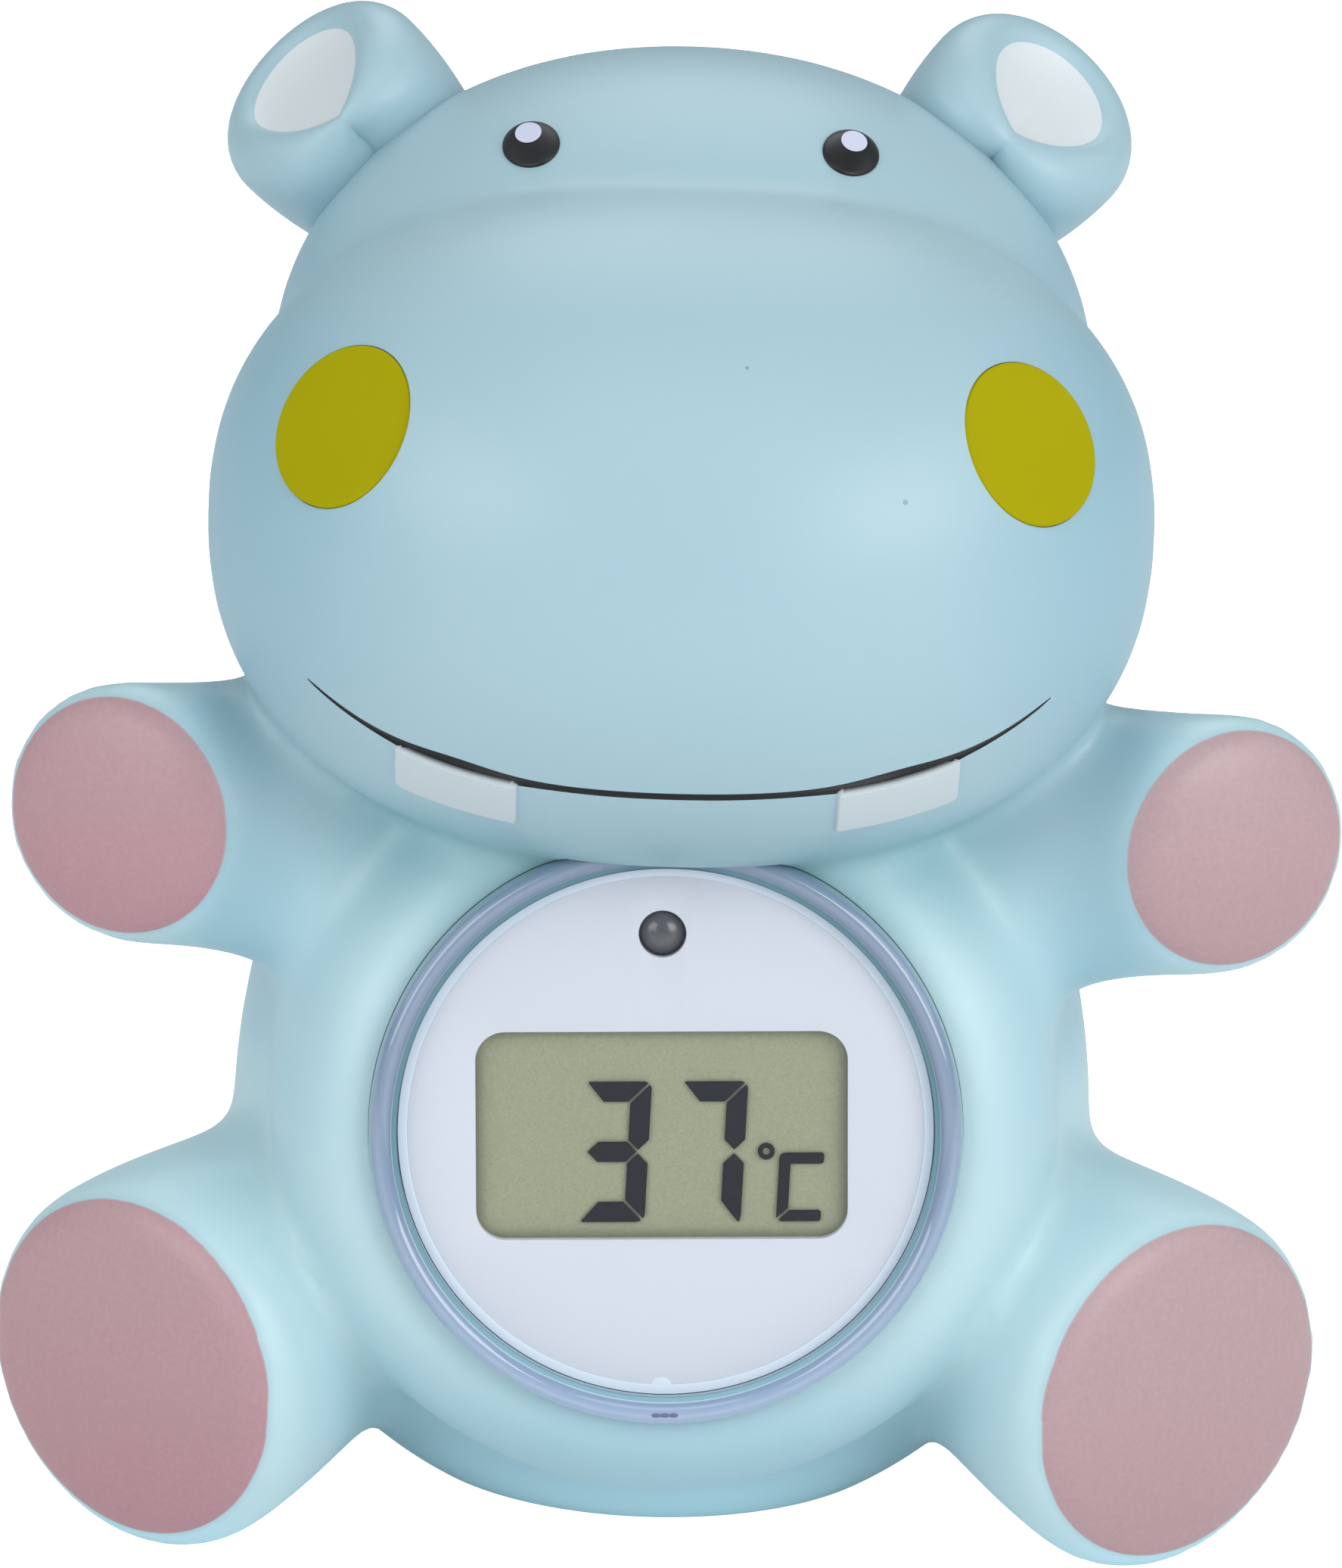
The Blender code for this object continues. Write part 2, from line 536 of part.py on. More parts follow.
def build_body(finish):
    """Hollow vinyl figure with a flat seat, an open belly and pockets for the cheek discs."""
    module_place = module_placement()
    shape = bmesh.new()
    add_turned(shape, belly_outline())
    shape.transform(module_place)
    add_figure(shape)
    body = new_object("body_shell", shape, finish)
    smoothed_solid(body, FUSE_SIZE, FUSE_SMOOTH_STEPS, FUSE_FACE_RATIO)
    for side in (-1, 1):
        combine(body, ear(side), 'UNION')
        combine(body, eye(side), 'UNION')
        combine(body, tooth(side), 'UNION')
    combine(body, slab("seat_plane", -TORSO_RISE, 0.0), 'DIFFERENCE')

    hollow = bmesh.new()
    add_figure(hollow, shrink=WALL)
    cavity = as_cutter(new_object("cavity", hollow))
    smoothed_solid(cavity, CAVITY_SIZE, CAVITY_SMOOTH_STEPS, CAVITY_FACE_RATIO)
    combine(cavity, slab("cavity_floor", -TORSO_RISE, WALL), 'DIFFERENCE')
    hole = HOUSING_RADIUS + CLEARANCE
    collar = disc("collar", hole + COLLAR_WALL, -COLLAR_LENGTH, WALL, None, module_place, None, HIDDEN_STEPS)
    combine(cavity, as_cutter(collar), 'DIFFERENCE')
    combine(body, cavity, 'DIFFERENCE')

    lip = hole - GRIP_DEPTH
    lip_back = GRIP_BACK + GRIP_WIDTH
    far = HOUSING_BACK + CLEARANCE
    recess = RING_RADIUS + CLEARANCE
    front = RING_HEIGHT + CLEARANCE
    outline = [(0.0, front), (recess, front), (recess, 0.0), (hole, 0.0), (hole, -GRIP_BACK),
               (lip, -GRIP_BACK), (lip, -lip_back), (hole, -lip_back), (hole, -far), (0.0, -far)]
    seat = turned("module_seat", outline, None, module_place)
    combine(body, as_cutter(seat), 'DIFFERENCE')
    vent_place = Matrix.Translation((0.0, VENT_BACK, 0.0))
    vent = disc("vent", VENT_DIAMETER / 2, -WALL, 2 * WALL, None, vent_place, None, SMALL_STEPS)
    combine(body, as_cutter(vent), 'DIFFERENCE')
    for side in (-1, 1):
        name = "left_cheek_pocket" if side < 0 else "right_cheek_pocket"
        pocket = turned(name, cheek_outline(CLEARANCE), None, cheek_placement(side), None, HIDDEN_STEPS)
        combine(body, as_cutter(pocket), 'DIFFERENCE')


# The thermometer module, from its clear front to its sensor

def build_front(module, clear, white):
    """Clear cover with its raised ring and skirt, and the white face plate under its window."""
    crown = []
    crown_width = RING_RADIUS - WINDOW_RADIUS
    for index in range(2 * EDGE_STEPS + 1):
        angle = pi / 2 * index / EDGE_STEPS
        across = WINDOW_RADIUS + crown_width * (1 + cos(angle)) / 2
        base = RING_EDGE_HEIGHT if index <= EDGE_STEPS else WINDOW_FRONT
        crown.append((across, base + (RING_HEIGHT - base) * sin(angle)))
    window_back = WINDOW_FRONT - WINDOW_THICKNESS
    outline = [(0.0, window_back), (WINDOW_RADIUS, window_back), (WINDOW_RADIUS, -SKIRT_LENGTH),
               (HOUSING_RADIUS, -SKIRT_LENGTH), (HOUSING_RADIUS, CLEARANCE), (RING_RADIUS, CLEARANCE)]
    turned("front_cover", outline + crown + [(0.0, WINDOW_FRONT)], clear, None, module)
    face = disc("face_plate", WINDOW_RADIUS - CLEARANCE, FACE_BACK, FACE_FRONT, white, None, module)
    opening = plate("display_opening", DISPLAY_WIDTH, DISPLAY_HEIGHT, -WALL, WALL, DISPLAY_CORNER,
                    DISPLAY_MIDDLE, parent=module)
    combine(face, as_cutter(opening), 'DIFFERENCE')
    place = Matrix.Translation((0.0, LED_ABOVE_CENTRE, 0.0))
    hole = disc("led_opening", LED_RADIUS + CLEARANCE, -WALL, WALL, None, place, module, SMALL_STEPS)
    combine(face, as_cutter(hole), 'DIFFERENCE')


def build_display(module, glass, silver, frame_finish, rubber):
    """Liquid crystal cell with its reflector, the frame that holds it and its two rubber connectors."""
    lcd_width = DISPLAY_WIDTH + 2 * LCD_MARGIN
    lcd_height = DISPLAY_HEIGHT + 2 * LCD_MARGIN
    lcd_back = LCD_FRONT - LCD_THICKNESS
    plate("lcd_glass", lcd_width, lcd_height, lcd_back, LCD_FRONT, centre=DISPLAY_MIDDLE, finish=glass,
          parent=module)
    strip_middle = lcd_height / 2 - STRIP_WIDTH / 2 - LCD_MARGIN
    reflector_front = lcd_back - CLEARANCE
    reflector_height = 2 * (strip_middle - STRIP_WIDTH / 2 - CLEARANCE)
    plate("lcd_reflector", lcd_width - 2 * LCD_MARGIN, reflector_height,
          reflector_front - REFLECTOR_THICKNESS, reflector_front,
          centre=DISPLAY_MIDDLE, finish=silver, parent=module)
    frame = disc("display_frame", FRAME_RADIUS, FRAME_BACK, LCD_FRONT, frame_finish, None, module,
                 HIDDEN_STEPS)
    pocket_floor = reflector_front - REFLECTOR_THICKNESS - CLEARANCE
    pocket = plate("lcd_pocket", lcd_width + 2 * CLEARANCE, lcd_height + 2 * CLEARANCE, pocket_floor, WALL,
                   centre=DISPLAY_MIDDLE, parent=module)
    combine(frame, as_cutter(pocket), 'DIFFERENCE')
    strip_length = lcd_width - 4 * LCD_MARGIN
    for name, side in (("upper_connector_strip", 1), ("lower_connector_strip", -1)):
        middle = (0.0, DISPLAY_MIDDLE[1] + side * strip_middle)
        plate(name, strip_length, STRIP_WIDTH, reflector_front - STRIP_HEIGHT, reflector_front,
              centre=middle, finish=rubber, parent=module)
        slot = plate(name + "_slot", strip_length + 2 * CLEARANCE, STRIP_WIDTH + 2 * CLEARANCE,
                     FRAME_BACK - WALL, pocket_floor + CLEARANCE, centre=middle, parent=module)
        combine(frame, as_cutter(slot), 'DIFFERENCE')
    place = Matrix.Translation((0.0, LED_ABOVE_CENTRE, 0.0))
    passage = disc("led_passage", LED_RADIUS + LED_FLANGE_WIDTH + CLEARANCE, FRAME_BACK - WALL, WALL,
                   None, place, module, SMALL_STEPS)
    combine(frame, as_cutter(passage), 'DIFFERENCE')


def build_board(module, board_finish, epoxy, led_finish):
    """Circuit board with its covered chip and the alarm light that reaches up to the window."""
    disc("circuit_board", FRAME_RADIUS, BOARD_BACK, BOARD_FRONT, board_finish, None, module, HIDDEN_STEPS)
    chip_front = BOARD_BACK - CLEARANCE
    chip = [(0.0, chip_front), (CHIP_RADIUS, chip_front)]
    for index in range(1, EDGE_STEPS + 1):
        angle = pi / 2 * index / EDGE_STEPS
        chip.append((CHIP_RADIUS * cos(angle), chip_front - CHIP_HEIGHT * sin(angle)))
    chip[-1] = (0.0, chip_front - CHIP_HEIGHT)
    turned("chip_cover", chip, epoxy, None, module, SMALL_STEPS)
    base = BOARD_FRONT + CLEARANCE
    flange = LED_RADIUS + LED_FLANGE_WIDTH
    flange_front = base + LED_FLANGE_HEIGHT
    light = [(0.0, base), (flange, base), (flange, flange_front), (LED_RADIUS, flange_front)]
    for index in range(EDGE_STEPS):
        angle = pi / 2 * index / EDGE_STEPS
        light.append((LED_RADIUS * cos(angle), LED_DOME_FRONT - LED_RADIUS * (1 - sin(angle))))
    light.append((0.0, LED_DOME_FRONT))
    place = Matrix.Translation((0.0, LED_ABOVE_CENTRE, 0.0))
    turned("alarm_led", light, led_finish, place, module, SMALL_STEPS)


def build_housing(module, finish, rubber):
    """Rear housing with a neck inside the cover's skirt, a grip groove, a door recess and screw bosses."""
    neck = WINDOW_RADIUS - CLEARANCE
    bore = neck - HOUSING_WALL
    ledge = bore - BOARD_LEDGE
    ledge_front = BOARD_BACK - CLEARANCE
    shoulder = -SKIRT_LENGTH - 2 * CLEARANCE - SEAL_SECTION
    groove_front = -GRIP_BACK + CLEARANCE
    groove_back = -GRIP_BACK - GRIP_WIDTH - CLEARANCE
    groove = HOUSING_RADIUS - GRIP_DEPTH
    outline = [(0.0, HOUSING_INSIDE), (ledge, HOUSING_INSIDE), (ledge, ledge_front), (bore, ledge_front),
               (bore, NECK_FRONT), (neck, NECK_FRONT), (neck, shoulder), (HOUSING_RADIUS, shoulder),
               (HOUSING_RADIUS, groove_front), (groove, groove_front), (groove, groove_back),
               (HOUSING_RADIUS, groove_back), (HOUSING_RADIUS, -HOUSING_BACK), (0.0, -HOUSING_BACK)]
    housing = turned("rear_housing", outline, finish, None, module, HIDDEN_STEPS)
    for side in (-1, 1):
        place = Matrix.Translation((side * SCREW_SPREAD, 0.0, 0.0))
        boss = disc("left_boss" if side < 0 else "right_boss", BOSS_RADIUS,
                    HOUSING_INSIDE - HOUSING_FLOOR / 2, BOSS_FRONT, None, place, module, SMALL_STEPS)
        combine(housing, as_cutter(boss), 'UNION')
    recess = plate("door_recess", DOOR_WIDTH + 2 * CLEARANCE, DOOR_HEIGHT + 2 * CLEARANCE,
                   -HOUSING_BACK - WALL, RECESS_FLOOR, DOOR_CORNER, parent=module)
    combine(housing, as_cutter(recess), 'DIFFERENCE')
    opening = plate("battery_opening", PLUG_WIDTH + 2 * CLEARANCE, PLUG_HEIGHT + 2 * CLEARANCE,
                    RECESS_FLOOR - WALL, HOUSING_INSIDE + WALL, DOOR_CORNER / 2, parent=module)
    combine(housing, as_cutter(opening), 'DIFFERENCE')
    for side in (-1, 1):
        place = Matrix.Translation((side * SCREW_SPREAD, 0.0, 0.0))
        hole = disc("left_hole" if side < 0 else "right_hole", SCREW_RADIUS + CLEARANCE, -HOUSING_BACK - WALL,
                    BOSS_FRONT - SCREW_BOSS_WALL, None, place, module, SMALL_STEPS)
        combine(housing, as_cutter(hole), 'DIFFERENCE')
    place = Matrix.Translation((0.0, -SENSOR_BELOW_CENTRE, 0.0))
    sensor_hole = disc("sensor_hole", SENSOR_RADIUS + CLEARANCE, -HOUSING_BACK - WALL, HOUSING_INSIDE + WALL,
                       None, place, module, SMALL_STEPS)
    combine(housing, as_cutter(sensor_hole), 'DIFFERENCE')
    seal_radius = SEAL_SECTION / 2
    seal_middle = neck + CLEARANCE + seal_radius
    seal_height = -SKIRT_LENGTH - CLEARANCE - seal_radius
    section = []
    for index in range(SEAL_STEPS):
        angle = 2 * pi * index / SEAL_STEPS
        section.append((seal_middle + seal_radius * cos(angle), seal_height - seal_radius * sin(angle)))
    turned("housing_seal", section, rubber, None, module, HIDDEN_STEPS)


def build_battery(module, finish, metal, rubber):
    """Two button cells in their carrier, with contacts, and the sealed door that its screws hold."""
    carrier = plate("battery_carrier", CARRIER_LENGTH, CARRIER_HEIGHT, CARRIER_BACK, -CARRIER_ROOF_BACK,
                    CELL_RADIUS, finish=finish, parent=module)
    contact_front = -CARRIER_ROOF_BACK - CARRIER_WALL - CLEARANCE
    cell_front = contact_front - CONTACT_THICKNESS - CLEARANCE
    for side, cell_name, contact_name in ((-1, "left_battery_cell", "negative_contact"),
                                          (1, "right_battery_cell", "positive_contact")):
        middle = side * CELL_SPREAD
        place = Matrix.Translation((middle, 0.0, 0.0))
        well = disc(cell_name + "_well", CELL_RADIUS + CLEARANCE, CARRIER_BACK - WALL,
                    contact_front + CLEARANCE, None, place, module, HIDDEN_STEPS)
        combine(carrier, as_cutter(well), 'DIFFERENCE')
        disc(cell_name, CELL_RADIUS, cell_front - CELL_THICKNESS, cell_front, metal, place, module,
             HIDDEN_STEPS)
        contact = plate(contact_name, CONTACT_LENGTH, CONTACT_WIDTH, contact_front - CONTACT_THICKNESS,
                        contact_front, centre=(middle, 0.0), finish=metal, parent=module)
        tab_middle = (middle + side * TAB_SHIFT, 0.0)
        tab = plate(contact_name + "_tab", CONTACT_THICKNESS, CONTACT_WIDTH,
                    contact_front - CONTACT_THICKNESS / 2, BOARD_BACK - CLEARANCE,
                    centre=tab_middle, parent=module)
        combine(contact, as_cutter(tab), 'UNION')
        slot = plate(contact_name + "_slot", CONTACT_THICKNESS + 2 * CLEARANCE,
                     CONTACT_WIDTH + 2 * CLEARANCE, contact_front, -CARRIER_ROOF_BACK + WALL,
                     centre=tab_middle, parent=module)
        combine(carrier, as_cutter(slot), 'DIFFERENCE')
    bridge_front = cell_front - CELL_THICKNESS - CLEARANCE
    plate("battery_bridge", 2 * CELL_SPREAD + CONTACT_LENGTH, CONTACT_WIDTH, bridge_front - CONTACT_THICKNESS,
          bridge_front, finish=metal, parent=module)
    gap = plate("bridge_slot", 2 * CELL_SPREAD, CONTACT_WIDTH + 2 * CLEARANCE, CARRIER_BACK - WALL,
                bridge_front + CLEARANCE, parent=module)
    combine(carrier, as_cutter(gap), 'DIFFERENCE')
    join = plate("door_flange", DOOR_WIDTH, DOOR_HEIGHT, -HOUSING_BACK, -HOUSING_BACK + DOOR_THICKNESS,
                 DOOR_CORNER, parent=module)
    door = plate("battery_door", PLUG_WIDTH, PLUG_HEIGHT, -HOUSING_BACK + DOOR_THICKNESS / 2,
                 bridge_front - CONTACT_THICKNESS - CLEARANCE, DOOR_CORNER / 2, finish=finish, parent=module)
    combine(door, as_cutter(join), 'UNION')
    seal_back = -HOUSING_BACK + DOOR_THICKNESS + CLEARANCE
    inner_width = PLUG_WIDTH + 2 * CLEARANCE
    inner_height = PLUG_HEIGHT + 2 * CLEARANCE
    seal = plate("door_seal", inner_width + 2 * DOOR_SEAL_WIDTH, inner_height + 2 * DOOR_SEAL_WIDTH,
                 seal_back, seal_back + DOOR_SEAL_THICKNESS, DOOR_CORNER / 2 + DOOR_SEAL_WIDTH,
                 finish=rubber, parent=module)
    inside = plate("door_seal_inside", inner_width, inner_height, seal_back - WALL, seal_back + WALL,
                   DOOR_CORNER / 2, parent=module)
    combine(seal, as_cutter(inside), 'DIFFERENCE')
    for side, name in ((-1, "left_door_screw"), (1, "right_door_screw")):
        place = Matrix.Translation((side * SCREW_SPREAD, 0.0, 0.0))
        head_back = -HOUSING_BACK + CLEARANCE
        head_front = head_back + SCREW_HEAD_RADIUS - SCREW_RADIUS
        outline = [(0.0, head_back + SCREW_LENGTH), (SCREW_RADIUS, head_back + SCREW_LENGTH),
                   (SCREW_RADIUS, head_front), (SCREW_HEAD_RADIUS, head_back), (0.0, head_back)]
        turned(name, outline, metal, place, module, SMALL_STEPS)
        shank = SCREW_RADIUS + CLEARANCE
        head = SCREW_HEAD_RADIUS + CLEARANCE
        sink = [(0.0, head_front + WALL), (shank, head_front + WALL), (shank, head_front), (head, head_back),
                (head, head_back - WALL), (0.0, head_back - WALL)]
        cut = turned(name + "_sink", sink, None, place, module, SMALL_STEPS)
        combine(door, as_cutter(cut), 'DIFFERENCE')


def build_sensor(module, steel, epoxy):
    """Steel cap through the housing's back, with the thermistor in it on two leads from the board."""
    place = Matrix.Translation((0.0, -SENSOR_BELOW_CENTRE, 0.0))
    inside = SENSOR_RADIUS - SENSOR_WALL
    flange = SENSOR_RADIUS + SENSOR_FLANGE
    flange_back = HOUSING_INSIDE + CLEARANCE
    flange_front = flange_back + SENSOR_WALL
    end = -HOUSING_BACK - SENSOR_PROUD
    outline = [(0.0, end + SENSOR_WALL), (inside, end + SENSOR_WALL), (inside, flange_front),
               (flange, flange_front), (flange, flange_back), (SENSOR_RADIUS, flange_back),
               (SENSOR_RADIUS, end + SENSOR_WALL), (inside, end), (0.0, end)]
    turned("sensor_cap", outline, steel, place, module, SMALL_STEPS)
    bead = bmesh.new()
    bead_radius = inside - CLEARANCE
    bead_reach = BEAD_RATIO * bead_radius
    bead_middle = end + SENSOR_WALL + CLEARANCE + bead_reach
    add_ellipsoid(bead, (0, 0, bead_middle), (bead_radius, bead_radius, bead_reach), segments=SMALL_STEPS)
    thermistor = new_object("thermistor", bead, epoxy, place, module)
    for side in (-1, 1):
        lead_place = Matrix.Translation((side * bead_radius / 2, -SENSOR_BELOW_CENTRE, 0.0))
        lead = disc("left_lead" if side < 0 else "right_lead", LEAD_RADIUS, bead_middle,
                    BOARD_BACK - CLEARANCE, None, lead_place, module, SMALL_STEPS)
        combine(thermistor, as_cutter(lead), 'UNION')


def main():
    clear_scene()
    vinyl = material("blue_vinyl", (0.44, 0.65, 0.71), 0.45)
    cheek_finish = material("cheek_vinyl", (0.40, 0.37, 0.01), 0.45)
    clear = material("clear_plastic", (0.55, 0.62, 0.78), 0.05, transmission=0.8)
    white = material("white_plastic", (0.72, 0.75, 0.85), 0.35)
    display = material("display_glass", (0.36, 0.40, 0.26), 0.15)
    silver = material("reflector_film", (0.75, 0.76, 0.74), 0.3, metallic=0.6)
    grey_plastic = material("grey_plastic", (0.55, 0.57, 0.60), 0.5)
    rubber = material("black_rubber", (0.03, 0.03, 0.03), 0.7)
    board_finish = material("green_board", (0.02, 0.16, 0.06), 0.4)
    epoxy = material("black_epoxy", (0.02, 0.02, 0.02), 0.35)
    smoked = material("smoked_led", (0.08, 0.08, 0.09), 0.12)
    steel = material("steel", (0.62, 0.62, 0.63), 0.25, metallic=1.0)

    build_body(vinyl)
    for side, name in ((-1, "left_cheek_disc"), (1, "right_cheek_disc")):
        turned(name, cheek_outline(), cheek_finish, cheek_placement(side), None, HIDDEN_STEPS)
    module = bpy.data.objects.new("module_frame", None)
    bpy.context.scene.collection.objects.link(module)
    module.matrix_basis = module_placement()
    build_front(module, clear, white)
    build_display(module, display, silver, grey_plastic, rubber)
    build_board(module, board_finish, epoxy, smoked)
    build_housing(module, grey_plastic, rubber)
    build_battery(module, grey_plastic, steel, rubber)
    build_sensor(module, steel, epoxy)


main()
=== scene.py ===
"""Looks of the baby bath thermometer: a sitting vinyl hippo with a round thermometer in its belly.

The figure faces -Y and rests on z = 0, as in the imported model. Lengths are metres, and values
that end in _DEG are degrees. The module's pieces are made in a frame of their own, whose +Z
points out of the belly through the display.
"""

from math import cos, exp, pi, radians, sin, sqrt

import bmesh
import bpy
import numpy as np
from mathutils import Matrix, Vector
from mathutils.bvhtree import BVHTree


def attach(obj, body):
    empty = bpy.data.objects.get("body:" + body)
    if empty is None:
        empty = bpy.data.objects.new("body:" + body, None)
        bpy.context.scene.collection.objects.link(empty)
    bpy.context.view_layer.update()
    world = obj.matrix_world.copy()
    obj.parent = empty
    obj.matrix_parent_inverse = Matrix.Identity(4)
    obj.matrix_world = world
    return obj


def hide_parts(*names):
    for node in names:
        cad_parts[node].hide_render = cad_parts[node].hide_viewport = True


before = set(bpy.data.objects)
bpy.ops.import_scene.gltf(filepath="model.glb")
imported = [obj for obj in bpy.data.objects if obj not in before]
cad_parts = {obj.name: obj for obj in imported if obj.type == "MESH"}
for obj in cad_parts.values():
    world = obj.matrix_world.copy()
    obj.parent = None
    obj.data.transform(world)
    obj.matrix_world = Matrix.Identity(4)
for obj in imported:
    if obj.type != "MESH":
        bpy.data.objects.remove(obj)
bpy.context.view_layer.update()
MM = 0.001

# The figure's main forms
TORSO_SIZE = Vector((67.0, 57.0, 100.0)) * MM
TORSO_CENTRE = Vector((0.0, 0.0, 25.0)) * MM
TORSO_FALL = 30.8 * MM
MUZZLE_SIZE = Vector((70.7, 57.0, 50.9)) * MM
MUZZLE_CENTRE = Vector((0.0, -14.0, 80.2)) * MM
CRANIUM_SIZE = Vector((63.0, 55.0, 51.8)) * MM
CRANIUM_CENTRE = Vector((0.0, 5.0, 84.8)) * MM
MUZZLE_FULLNESS = 2.3
CRANIUM_FULLNESS = 2.1
WALL = 2.6 * MM
GAP = 0.3 * MM
VENT_RADIUS = 2.5 * MM
VENT_BACK = 9.0 * MM
RING_SEAM = 0.04 * MM

# Arms and legs
ARM_TIPS = {-1: Vector((-42.4, -21.0, 57.45)) * MM, 1: Vector((43.0, -21.0, 57.1)) * MM}
ARM_AXIS_DEG = (56.0, 10.8)
ARM_PAD_DEG = (26.0, 4.0)
ARM_RADII = (11.5 * MM, 10.3 * MM)
ARM_LENGTH = 26.0 * MM
ARM_PAINT_RADIUS = 9.05 * MM
ARM_PAINT_RISE = 0.4 * MM
LEG_TIPS = {-1: Vector((-40.95, -26.3, 14.75)) * MM, 1: Vector((40.55, -26.3, 14.9)) * MM}
LEG_AXIS_DEG = (36.0, -5.0)
LEG_PAD_DEG = (36.0, 0.0)
LEG_RADII = (12.2 * MM, 14.6 * MM)
LEG_LENGTH = 30.0 * MM
LEG_PAINT_RADIUS = 13.2 * MM
LEG_PAINT_RISE = 0.5 * MM
LIMB_EDGE = 3.2 * MM
LIMB_DOME = 0.9 * MM

# Ears
EAR_TIPS = {-1: Vector((-29.8, 12.3, 106.65)) * MM, 1: Vector((27.75, 12.3, 107.1)) * MM}
EAR_AXIS_DEG = {-1: (65.0, 45.2), 1: (53.3, 48.8)}
EAR_RADIUS = 8.9 * MM
EAR_ROOT_RADIUS = 6.3 * MM
EAR_LENGTH = 17.0 * MM
EAR_EDGE = 3.4 * MM
EAR_RIM = 2.9 * MM
DISH_RADIUS = 4.9 * MM
DISH_DEPTH = 1.6 * MM
DISH_CORNER_REACH = {-1: 1.85 * MM, 1: 0.9 * MM}
DISH_CORNER_DEG = 80.0
RIM_DROP = 1.0 * MM
FOLD_DEPTH = 1.5 * MM
FOLD_TURN_DEG = 12.0
FOLD_WIDTH_DEG = 13.0
PANEL_SWELL = 0.5 * MM
PANEL_TURN_DEG = 42.0
PANEL_WIDTH_DEG = 24.0

# Face
EYE_CENTRE = Vector((11.9, -5.6, 106.7)) * MM
EYE_RADII = (2.75 * MM, 2.12 * MM)
EYE_TURN_DEG = 31.0
EYE_PROUD = 0.62 * MM
PUPIL_RADII = (1.25 * MM, 0.98 * MM)
PUPIL_SHIFT = (0.4 * MM, 0.52 * MM)
CHEEK_CENTRE = Vector((24.9, 0.0, 92.0)) * MM
CHEEK_AXIS_DEG = (43.0, 31.0)
CHEEK_RADIUS = 6.2 * MM
CHEEK_THICKNESS = 1.6 * MM
CHEEK_PROUD = 0.18 * MM
CHEEK_EDGE = 0.3 * MM
CHEEK_SEAM = 0.05 * MM
MOUTH_REACH = 27.2 * MM
MOUTH_HEIGHT = 67.4 * MM
MOUTH_RISE = 0.85 * MM
MOUTH_RISE_AT = 14.3 * MM
MOUTH_END_RISE = 5.7 * MM
MOUTH_WIDTH = 0.36 * MM
MOUTH_SWELL_REACH = 4.0 * MM
TOOTH_INNER = 11.6 * MM
TOOTH_OUTER = 20.7 * MM
TOOTH_HEIGHT = 4.1 * MM
TOOTH_BELOW_MOUTH = 0.4 * MM
TOOTH_PROUD = 0.35 * MM
TOOTH_EDGE = 0.35 * MM
TOOTH_THICKNESS = 0.6 * MM
TOOTH_SUNK = 0.06 * MM

# Thermometer module, along its own axis
MODULE_SEAT = Vector((0.0, -28.6, 37.3)) * MM
MODULE_TILT_DEG = 11.0
MODULE_TURN_DEG = 1.7
RING_RADIUS = 22.2 * MM
RING_CREST = 2.6 * MM
RING_FOOT = 0.9 * MM
BAND_INNER = 20.55 * MM
LIP_OUTER = 20.05 * MM
FACE_RADIUS = 19.3 * MM
FACE_FRONT = 0.8 * MM
FACE_THICKNESS = 0.9 * MM
WINDOW_FRONT = 1.9 * MM
WINDOW_THICKNESS = 0.8 * MM
BELLY_EDGE_WIDTH = 7.5 * MM
BELLY_EDGE_DROP = 13.0 * MM
SEAT_DEPTH = 0.5 * MM
HOUSING_RADIUS = 20.5 * MM
HOUSING_DEPTH = 18.5 * MM
COLLAR_WALL = 2.2 * MM
COLLAR_LENGTH = 11.0 * MM

# Display
DISPLAY_SIZE = (27.8 * MM, 15.8 * MM)
DISPLAY_CORNER = 2.2 * MM
DISPLAY_MIDDLE = (-0.3 * MM, -0.33 * MM)
DISPLAY_LEVEL = -0.4 * MM
DIGIT_HEIGHT = 10.7 * MM
DIGIT_WIDTH = 4.75 * MM
DIGIT_STROKE = 1.55 * MM
DIGIT_GAP = 0.13 * MM
DIGIT_SLANT = 0.057
DIGIT_CORNER = 0.4 * MM
DIGIT_LIFT = 0.22 * MM
INK_THICKNESS = 0.04 * MM
DIGIT_PITCH = 7.2 * MM
LEFT_DIGIT = (-6.36 * MM, -7.08 * MM)
UNIT_CORNER = (8.22 * MM, -7.08 * MM)
UNIT_SIZE = (3.35 * MM, 5.25 * MM)
UNIT_STROKE = 0.87 * MM
UNIT_RING_RADII = (0.26 * MM, 0.64 * MM)
UNIT_RING_PLACE = (-0.7 * MM, 5.35 * MM)
LIGHT_MIDDLE = (-0.2 * MM, 14.95 * MM)
LIGHT_RADIUS = 1.7 * MM

# Fineness
FINE_CELL = 0.8 * MM
SKIN_CELL = FINE_CELL
HOLLOW_CELL = 2.0 * MM
EVEN_ROUNDS = 8
HOLLOW_ROUNDS = 3
JUNCTION_ROUNDS = 50
ROUND_STEPS = 160
SMALL_STEPS = 64
CHEEK_STEPS = 128
SHARP_DEG = 38.0
MERGE_DISTANCE = 0.001 * MM
FACE_STEPS = 192
SIDES = ((-1, "left"), (1, "right"))

# Where the limbs grow out of the torso's right half: place and reach, in millimetres
JUNCTIONS = (((30.0, -10.0, 50.0), 21.0), ((28.0, -12.0, 18.0), 19.0))

